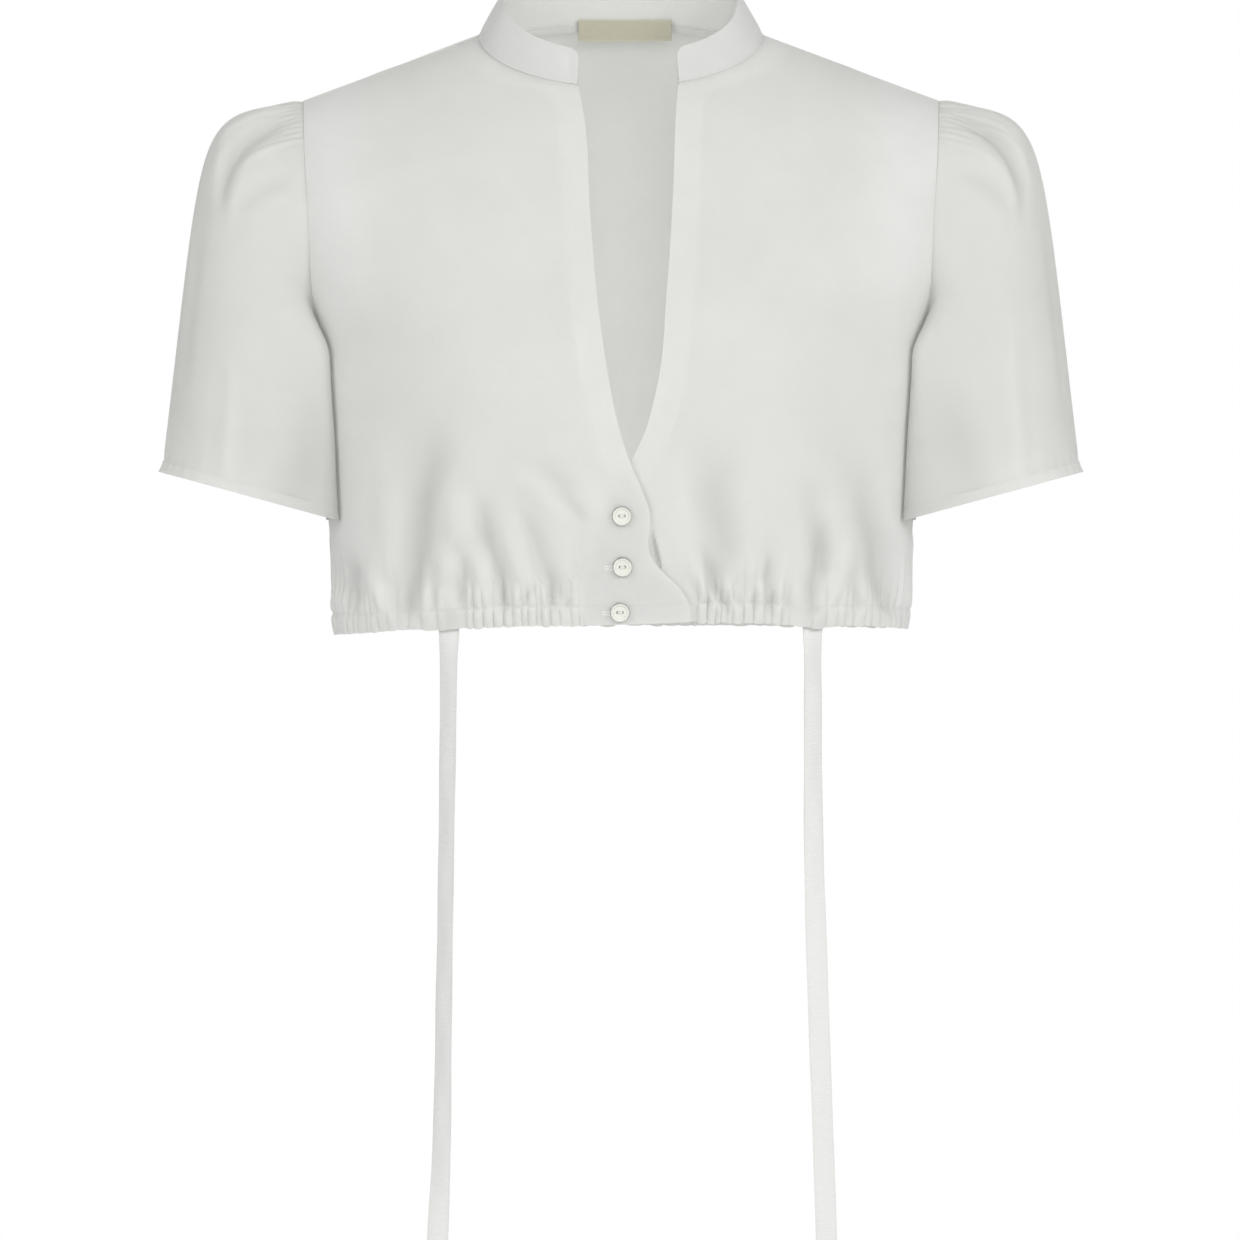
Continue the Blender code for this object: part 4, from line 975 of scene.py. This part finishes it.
buttonShape = {
    "radius": 0.0058,
    "thickness": 0.0024,
    "holeRadius": 0.00085,
    "holeSpacing": 0.0028,
    "places": ((0.0005, -0.2877), (0.0009, -0.3182), (-0.0006, -0.3454)),
    "lift": 0.0016 + 0.0003,
}


def selectFaces(piece, chosen):
    bpy.ops.object.mode_set(mode="OBJECT")
    for face in piece.data.polygons:
        face.select = chosen(face)
    bpy.ops.object.mode_set(mode="EDIT")


def frontTilt(x, z):
    high = float(bodyDepth(np.array(x), np.array(z + 0.003), "front"))
    low = float(bodyDepth(np.array(x), np.array(z - 0.003), "front"))
    return math.atan2(high - low, 0.006)


def makeButton(name, x, z):
    radius, thick = buttonShape["radius"], buttonShape["thickness"]
    bpy.ops.mesh.primitive_cylinder_add(
        vertices=56, radius=radius, depth=thick * 0.55, location=(0, 0, thick * 0.275)
    )
    button = bpy.context.object
    button.name = name
    bpy.ops.object.transform_apply()
    bpy.ops.object.mode_set(mode="EDIT")
    bpy.ops.mesh.select_mode(type="FACE")
    selectFaces(button, lambda face: face.normal.z > 0.9)
    bpy.ops.mesh.extrude_region_move(TRANSFORM_OT_translate={"value": (0, 0, thick * 0.30)})
    bpy.ops.transform.resize(value=(0.985, 0.985, 1))
    bpy.ops.mesh.extrude_region_move(TRANSFORM_OT_translate={"value": (0, 0, thick * 0.15)})
    bpy.ops.transform.resize(value=(0.955, 0.955, 1))
    bpy.ops.mesh.inset(thickness=radius * 0.13)
    bpy.ops.mesh.inset(thickness=radius * 0.13)
    bpy.ops.transform.translate(value=(0, 0, -thick * 0.34))
    bpy.ops.mesh.inset(thickness=radius * 0.25)
    bpy.ops.transform.translate(value=(0, 0, -thick * 0.08))
    selectFaces(button, lambda face: face.normal.z < -0.9)
    bpy.ops.mesh.inset(thickness=radius * 0.12)
    bpy.ops.transform.translate(value=(0, 0, -thick * 0.0))
    bpy.ops.object.mode_set(mode="OBJECT")
    for sign in (-1, 1):
        bpy.ops.mesh.primitive_cylinder_add(
            vertices=24,
            radius=buttonShape["holeRadius"],
            depth=thick * 3,
            location=(sign * buttonShape["holeSpacing"] / 2, 0, 0),
        )
        drill = bpy.context.object
        hole = button.modifiers.new("hole", "BOOLEAN")
        hole.operation = "DIFFERENCE"
        hole.solver = "EXACT"
        hole.object = drill
        bpy.context.view_layer.objects.active = button
        bpy.ops.object.modifier_apply(modifier="hole")
        bpy.data.objects.remove(drill, do_unlink=True)
    soften = button.modifiers.new("soften", "BEVEL")
    soften.width = 0.00022
    soften.segments = 3
    soften.limit_method = "ANGLE"
    soften.angle_limit = math.radians(40)
    bpy.ops.object.modifier_apply(modifier="soften")
    placeOnFront(button, x, z, buttonShape["lift"])
    button.select_set(True)
    bpy.ops.object.shade_smooth_by_angle(angle=math.radians(35))
    button.select_set(False)
    return button


def placeOnFront(piece, x, z, lift):
    tilt = frontTilt(x, z)
    depth = float(bodyDepth(np.array(x), np.array(z), "front"))
    turn = Matrix.Rotation(math.pi / 2 + tilt, 4, "X")
    move = Matrix.Translation((x, -depth - lift * math.cos(tilt), z - lift * math.sin(tilt)))
    piece.data.transform(move @ turn)


def makeButtonThread(name, x, z):
    thick = buttonShape["thickness"]
    line = bpy.data.curves.new(name, "CURVE")
    line.dimensions = "3D"
    line.bevel_depth = 0.00028
    line.bevel_resolution = 2
    for shift in (-0.00036, 0.0, 0.00036):
        strand = line.splines.new("NURBS")
        strand.points.add(4)
        half = buttonShape["holeSpacing"] / 2
        spots = ((-half, 0.30), (-half * 0.95, 0.62), (0, 0.80), (half * 0.95, 0.62), (half, 0.30))
        for point, (along, up) in zip(strand.points, spots):
            point.co = (along, shift, up * thick, 1)
        strand.use_endpoint_u = True
        strand.order_u = 3
    piece = bpy.data.objects.new(name, line)
    bpy.context.scene.collection.objects.link(piece)
    bpy.ops.object.select_all(action="DESELECT")
    bpy.context.view_layer.objects.active = piece
    piece.select_set(True)
    bpy.ops.object.convert(target="MESH")
    placeOnFront(piece, x, z, buttonShape["lift"])
    bpy.ops.object.shade_smooth()
    piece.select_set(False)
    return piece


buttonholeShape = {"length": 0.0135, "lip": 0.0011, "slot": 0.00025, "height": 0.00035, "start": -0.0108}


def makeButtonhole(name, x, z):
    # a stitched rim round a slot, laid on the right front
    around = np.linspace(0, 2 * math.pi, 121)[:-1]
    across = np.linspace(0, 1, 7)
    half = buttonholeShape["length"] / 2 - buttonholeShape["lip"]
    rows = []
    for part in across:
        reach = buttonholeShape["slot"] + part * buttonholeShape["lip"]
        along = np.clip(np.cos(around) * 3, -1, 1) * half + np.cos(around) * reach
        up = np.clip(np.sin(around) * 2.2, -1, 1) * reach
        rib = 0.10 * np.sin(around * 60)
        out = buttonholeShape["height"] * (math.sin(math.pi * part) ** 0.5 * (1 + rib))
        px = x + buttonholeShape["start"] + buttonholeShape["length"] / 2 + along
        pz = z - 0.0012 + up
        depth = bodyDepth(px, pz, "front")
        rows.append(np.stack([px, -depth - 0.0012 - out, pz], axis=-1))
    points = np.array(rows)
    plan = np.stack(
        [np.broadcast_to(around / 60, points.shape[:2]),
         np.broadcast_to(across[:, None] * buttonholeShape["lip"], points.shape[:2])],
        axis=-1,
    )
    return makeSheet(name, points, plan, 0.00025, closed=True)


# Finishes


class Wire:
    def __init__(self, finish, socket):
        self.finish, self.socket = finish, socket

    def sum(self, operation, first, second):
        return self.finish.node("ShaderNodeMath", {"operation": operation}, [first, second])

    def __add__(self, other):
        return self.sum("ADD", self, other)

    __radd__ = __add__

    def __sub__(self, other):
        return self.sum("SUBTRACT", self, other)

    def __rsub__(self, other):
        return self.sum("SUBTRACT", other, self)

    def __mul__(self, other):
        return self.sum("MULTIPLY", self, other)

    __rmul__ = __mul__

    def __truediv__(self, other):
        return self.sum("DIVIDE", self, other)

    def __lt__(self, other):
        return self.sum("LESS_THAN", self, other)

    def __gt__(self, other):
        return self.sum("GREATER_THAN", self, other)


class Finish:
    def __init__(self, name, **fixed):
        self.material = bpy.data.materials.new(name)
        self.material.use_nodes = True
        self.tree = self.material.node_tree
        self.shader = self.tree.nodes["Principled BSDF"]
        for socket, value in fixed.items():
            self.shader.inputs[socket.replace("_", " ")].default_value = value

    def node(self, kind, settings=None, sockets=None, output=0):
        made = self.tree.nodes.new(kind)
        for key, value in (settings or {}).items():
            if key == "stops":
                ramp = made.color_ramp
                for stop, (place, colour) in zip(ramp.elements, value[:2]):
                    stop.position, stop.color = place, (*colour, 1)
                for place, colour in value[2:]:
                    ramp.elements.new(place).color = (*colour, 1)
            else:
                setattr(made, key, value)
        pairs = enumerate(sockets) if isinstance(sockets, list) else (sockets or {}).items()
        for key, value in pairs:
            if isinstance(value, Wire):
                self.tree.links.new(value.socket, made.inputs[key])
            elif value is not None:
                made.inputs[key].default_value = value
        return Wire(self, made.outputs[output])

    def feed(self, socket, wire):
        self.tree.links.new(wire.socket, self.shader.inputs[socket])

    def letLightThrough(self, share, colour):
        through = self.node("ShaderNodeBsdfTranslucent", {}, {"Color": colour})
        self.tree.links.new(self.bump.socket, through.socket.node.inputs["Normal"])
        blend = self.node("ShaderNodeMixShader", {}, {0: share, 2: through})
        self.tree.links.new(self.shader.outputs["BSDF"], blend.socket.node.inputs[1])
        output = self.tree.nodes["Material Output"]
        self.tree.links.new(blend.socket, output.inputs["Surface"])

    def mix(self, share, first, second):
        return self.node(
            "ShaderNodeMix",
            {"data_type": "RGBA"},
            {0: share, 6: first, 7: second},
            output=2,
        )

    def ramp(self, value, atZero, atOne):
        return self.node(
            "ShaderNodeMapRange", {}, {0: value, 1: atZero, 2: atOne, 3: 0.0, 4: 1.0}
        )

    def noise(self, vector, scale, detail=2.0, rough=0.5):
        sockets = {"Vector": vector, "Scale": scale, "Detail": detail, "Roughness": rough}
        return self.node("ShaderNodeTexNoise", {}, sockets)


clothLook = {
    "colour": (0.870, 0.875, 0.855, 1),
    "shade": (0.830, 0.836, 0.814, 1),
    "thread": (0.900, 0.905, 0.885, 1),
    # deep: the colour the painted shade darkens towards
    "deep": (0.45, 0.455, 0.440, 1),
    "foldShade": 0.38,
    "patchShade": 0.06,
    "lightThrough": 0.48,
    "doubleThrough": 0.38,
    "collarThrough": 0.27,
    "facingWidth": 0.0150,
    "sideLess": 0.22,
    "throughColour": (0.925, 0.925, 0.908, 1),
    "roughness": 0.88,
    "sheen": 0.12,
    "weavePitch": 0.00062,
    "stitchLength": 0.0026,
    "stitchGap": 0.0006,
}


def clothFinish(name, stitchHeight, facing=False, through=None):
    look = clothLook
    finish = Finish(name, Roughness=look["roughness"], Sheen_Weight=look["sheen"])
    spot = finish.node("ShaderNodeUVMap", {"uv_map": "cloth"})
    u = finish.node("ShaderNodeSeparateXYZ", {}, [spot], output=0)
    v = finish.node("ShaderNodeSeparateXYZ", {}, [spot], output=1)
    warp = finish.node("ShaderNodeCombineXYZ", {}, [u * 1500.0, v * 90.0])
    weft = finish.node("ShaderNodeCombineXYZ", {}, [u * 90.0, v * 1500.0])
    slub = finish.noise(warp, 1.0, 2.0) * 0.5 + finish.noise(weft, 1.0, 2.0) * 0.5
    turn = 2 * math.pi / look["weavePitch"]
    weave = finish.node("ShaderNodeMath", {"operation": "SINE"}, [u * turn]) * finish.node(
        "ShaderNodeMath", {"operation": "SINE"}, [v * turn]
    )
    place = finish.node("ShaderNodeTexCoord", {}, output=3)
    cloudy = finish.noise(place, 55.0, 3.0, 0.6)
    offLine = finish.node("ShaderNodeMath", {"operation": "ABSOLUTE"}, [v - stitchHeight])
    onLine = offLine < 0.00032
    step = finish.node("ShaderNodeMath", {"operation": "FRACT"}, [u / look["stitchLength"]])
    stitch = onLine * (step > look["stitchGap"] / look["stitchLength"])
    tone = slub * 0.55 + cloudy * 0.45
    tone = finish.node(
        "ShaderNodeMapRange", {}, {0: tone, 1: 0.35, 2: 0.65, 3: 0.0, 4: 1.0}
    )
    base = finish.mix(tone, look["shade"], look["colour"])
    base = finish.mix(stitch * 0.35, base, look["thread"])
    # painted shade: the base colour is darkened towards deep by the painted-shade attribute (fold
    # valleys, gather creases, the shadow under the lifted front edge, the sleeve's inner side, the
    # collar); patchy adds random mottled tone
    hollow = finish.node("ShaderNodeAttribute", {"attribute_name": "hollow"}, output=2)
    patchy = finish.ramp(finish.noise(place, 16.0, 2.0), 0.62, 0.38)
    base = finish.mix(hollow * look["foldShade"] + patchy * look["patchShade"], base, look["deep"])
    finish.feed("Base Color", base)
    height = slub * 0.7 + weave * 0.12 + cloudy * 0.4 + stitch * 1.6
    finish.bump = finish.node(
        "ShaderNodeBump", {}, {"Strength": 0.55, "Distance": 0.00022, "Height": height}
    )
    finish.feed("Normal", finish.bump)
    through = through or look["lightThrough"]
    if facing:
        x = finish.node("ShaderNodeSeparateXYZ", {}, [place], output=0)
        z = finish.node("ShaderNodeSeparateXYZ", {}, [place], output=2)
        edge = finish.ramp(u, look["facingWidth"] + 0.003, look["facingWidth"])
        side = finish.node("ShaderNodeMath", {"operation": "ABSOLUTE"}, [x - 0.010])
        overlap = finish.ramp(side, 0.034, 0.024) * finish.ramp(z, -0.262, -0.285)
        double = finish.node("ShaderNodeMath", {"operation": "MAXIMUM"}, [edge, overlap])
        through = through - double * (through - look["doubleThrough"])
        beside = finish.ramp(finish.node("ShaderNodeMath", {"operation": "ABSOLUTE"}, [x]), 0.135, 0.168)
        through = through - beside * look["sideLess"]
    finish.letLightThrough(through, look["throughColour"])
    return finish.material


ribbonLook = {"colour": (0.760, 0.764, 0.745, 1), "edge": (0.70, 0.703, 0.685, 1)}


def ribbonFinish(name):
    finish = Finish(name, Roughness=0.62, Sheen_Weight=0.15)
    spot = finish.node("ShaderNodeUVMap", {"uv_map": "cloth"})
    u = finish.node("ShaderNodeSeparateXYZ", {}, [spot], output=0)
    v = finish.node("ShaderNodeSeparateXYZ", {}, [spot], output=1)
    fromMiddle = finish.node(
        "ShaderNodeMath", {"operation": "ABSOLUTE"}, [u - ribbonShape["width"] / 2]
    )
    edge = fromMiddle > ribbonShape["width"] / 2 - 0.0010
    rib = finish.node("ShaderNodeMath", {"operation": "SINE"}, [v * (2 * math.pi / 0.0011)])
    weft = finish.node("ShaderNodeCombineXYZ", {}, [u * 120.0, v * 1600.0])
    slub = finish.noise(weft, 1.0, 2.0)
    base = finish.mix(edge * 0.5 + slub * 0.3, ribbonLook["colour"], ribbonLook["edge"])
    finish.feed("Base Color", base)
    bump = finish.node(
        "ShaderNodeBump",
        {},
        {"Strength": 0.5, "Distance": 0.0002, "Height": rib * 0.4 + slub * 0.5 + edge * 0.8},
    )
    finish.feed("Normal", bump)
    return finish.material


labelLook = {"ground": (0.41, 0.39, 0.310, 1), "thread": (0.56, 0.535, 0.425, 1)}


def labelFinish(name):
    finish = Finish(name, Roughness=0.8, Sheen_Weight=0.1)
    spot = finish.node("ShaderNodeUVMap", {"uv_map": "cloth"})
    u = finish.node("ShaderNodeSeparateXYZ", {}, [spot], output=0)
    v = finish.node("ShaderNodeSeparateXYZ", {}, [spot], output=1)
    weft = finish.node("ShaderNodeCombineXYZ", {}, [u * 260.0, v * 2600.0])
    slub = finish.noise(weft, 1.0, 2.0, 0.6)
    fromMiddle = finish.node(
        "ShaderNodeMath", {"operation": "ABSOLUTE"}, [v - labelShape["height"] / 2]
    )
    edge = fromMiddle > labelShape["height"] / 2 - 0.0009
    base = finish.mix(slub, labelLook["ground"], labelLook["thread"])
    base = finish.mix(edge * 0.6, base, labelLook["thread"])
    finish.feed("Base Color", base)
    bump = finish.node(
        "ShaderNodeBump", {}, {"Strength": 0.4, "Distance": 0.0002, "Height": slub + edge * 0.6}
    )
    finish.feed("Normal", bump)
    return finish.material


buttonLook = {"colour": (0.84, 0.86, 0.78, 1), "cloud": (0.74, 0.76, 0.67, 1)}


def buttonFinish(name):
    finish = Finish(
        name, Roughness=0.32, Coat_Weight=0.25, Subsurface_Weight=0.35, Subsurface_Scale=0.003,
        Subsurface_Radius=(1, 1, 0.9)
    )
    place = finish.node("ShaderNodeTexCoord", {}, output=3)
    cloud = finish.noise(place, 420.0, 3.0, 0.6)
    finish.feed("Base Color", finish.mix(cloud, buttonLook["colour"], buttonLook["cloud"]))
    fine = finish.noise(place, 2500.0, 2.0, 0.5)
    bump = finish.node(
        "ShaderNodeBump", {}, {"Strength": 0.15, "Distance": 0.0001, "Height": fine}
    )
    finish.feed("Normal", bump)
    return finish.material


def threadFinish(name):
    finish = Finish(name, Roughness=0.7)
    place = finish.node("ShaderNodeTexCoord", {}, output=3)
    twist = finish.noise(place, 3000.0, 2.0, 0.5)
    colour = finish.mix(twist, (0.70, 0.70, 0.66, 1), (0.80, 0.80, 0.77, 1))
    finish.feed("Base Color", colour)
    bump = finish.node(
        "ShaderNodeBump", {}, {"Strength": 0.5, "Distance": 0.0001, "Height": twist}
    )
    finish.feed("Normal", bump)
    return finish.material


def giveFinish(piece, material):
    piece.data.materials.clear()
    piece.data.materials.append(material)
    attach(piece, "root")


# Build

panelCloth = clothFinish("panel cloth", cut["casing"])
frontCloth = clothFinish("front cloth", cut["casing"], facing=True)
sleeveCloth = clothFinish("sleeve cloth", sleeveShape["hem"])
collarCloth = clothFinish("collar cloth", 9.0, through=clothLook["collarThrough"])
tape = ribbonFinish("ribbon tape")
labelWeave = labelFinish("label weave")
shell = buttonFinish("button shell")
thread = threadFinish("sewing thread")

pieces = {
    "front_right": (makeFront("front_right_cloth", -1, rightEdge, gathers["right"], 3), frontCloth),
    "front_left": (makeFront("front_left_cloth", 1, leftEdge, gathers["left"], 4), frontCloth),
    "back": (makeBack("back_cloth"), panelCloth),
    "sleeve_right": (makeSleeve("sleeve_right_cloth", -1, sleeveFolds["right"], 8), sleeveCloth),
    "sleeve_left": (makeSleeve("sleeve_left_cloth", 1, sleeveFolds["left"], 9), sleeveCloth),
    "collar": (makeCollar("collar_cloth"), collarCloth),
}
for node, (piece, material) in pieces.items():
    giveFinish(piece, material)
    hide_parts(node)
print("cloth pieces made")

for node in ("ribbon_right", "ribbon_left"):
    piece = makeRibbon(node)
    giveFinish(piece, tape)
    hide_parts(node)
print("ribbons made")

label = makeLabel("label_tape")
giveFinish(label, labelWeave)
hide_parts("neck_label")
print("label made")

for number, (x, z) in enumerate(buttonShape["places"], 1):
    button = makeButton(f"button_{number}_shell", x, z)
    giveFinish(button, shell)
    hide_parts(f"button_{number}")
    giveFinish(makeButtonThread(f"button_{number}_thread", x, z), thread)
    giveFinish(makeButtonhole(f"buttonhole_{number}", x, z), thread)
print("buttons made")


# Stage, light and camera

studio = {
    "floorHeight": -0.80,
    "ambient": 0.52,
    "right": (2.2, -2.4, 0.9, 0.9, 28.0),
    "left": (-2.3, -2.4, 1.0, 0.9, 20.0),
    "front": (0.2, -3.4, 0.7, 1.0, 29.0),
    "back": (0.0, 2.6, 0.4, 2.4, 43.0),
    "cameraDistance": 30.0,
    "frameWidth": 0.744,
    "centre": (-0.0006, -0.3504),
}


def addLight(name, place):
    x, y, z, size, power = place
    lamp = bpy.data.lights.new(name, "AREA")
    lamp.size = size
    lamp.energy = power
    holder = bpy.data.objects.new(name, lamp)
    holder.location = (x, y, z)
    aim = Vector((0, 0, -0.2)) - Vector((x, y, z))
    holder.rotation_euler = aim.to_track_quat("-Z", "Y").to_euler()
    holder.visible_camera = False
    bpy.context.scene.collection.objects.link(holder)


bpy.ops.mesh.primitive_plane_add(size=5, location=(0, 0.6, studio["floorHeight"]))
floor = bpy.context.object
floor.name = "floor"
pale = Finish("pale floor", Roughness=0.9)
place = pale.node("ShaderNodeTexCoord", {}, output=3)
pale.feed("Base Color", pale.mix(pale.noise(place, 3.0), (0.86, 0.86, 0.86, 1), (0.88, 0.88, 0.88, 1)))
floor.data.materials.append(pale.material)
floor.select_set(False)

world = bpy.data.worlds.new("studio")
bpy.context.scene.world = world
world.use_nodes = True
tree = world.node_tree
tree.nodes.clear()
lighting = tree.nodes.new("ShaderNodeBackground")
lighting.inputs["Strength"].default_value = studio["ambient"]
seen = tree.nodes.new("ShaderNodeBackground")
seen.inputs["Color"].default_value = (1, 1, 1, 1)
lighting.inputs["Color"].default_value = (1, 1, 1, 1)
path = tree.nodes.new("ShaderNodeLightPath")
blend = tree.nodes.new("ShaderNodeMixShader")
out = tree.nodes.new("ShaderNodeOutputWorld")
tree.links.new(path.outputs["Is Camera Ray"], blend.inputs["Fac"])
tree.links.new(lighting.outputs["Background"], blend.inputs[1])
tree.links.new(seen.outputs["Background"], blend.inputs[2])
tree.links.new(blend.outputs["Shader"], out.inputs["Surface"])
for lamp in ("right", "left", "front", "back"):
    addLight(lamp, studio[lamp])

camera = bpy.data.cameras.new("camera")
camera.sensor_width = 36
camera.lens = 36 * studio["cameraDistance"] / studio["frameWidth"]
camera.clip_end = 200
viewer = bpy.data.objects.new("camera", camera)
viewer.location = (studio["centre"][0], -studio["cameraDistance"], studio["centre"][1])
viewer.rotation_euler = (math.pi / 2, 0, 0)
bpy.context.scene.collection.objects.link(viewer)
bpy.context.scene.camera = viewer
bpy.context.scene.view_settings.view_transform = "Standard"
print("studio ready")
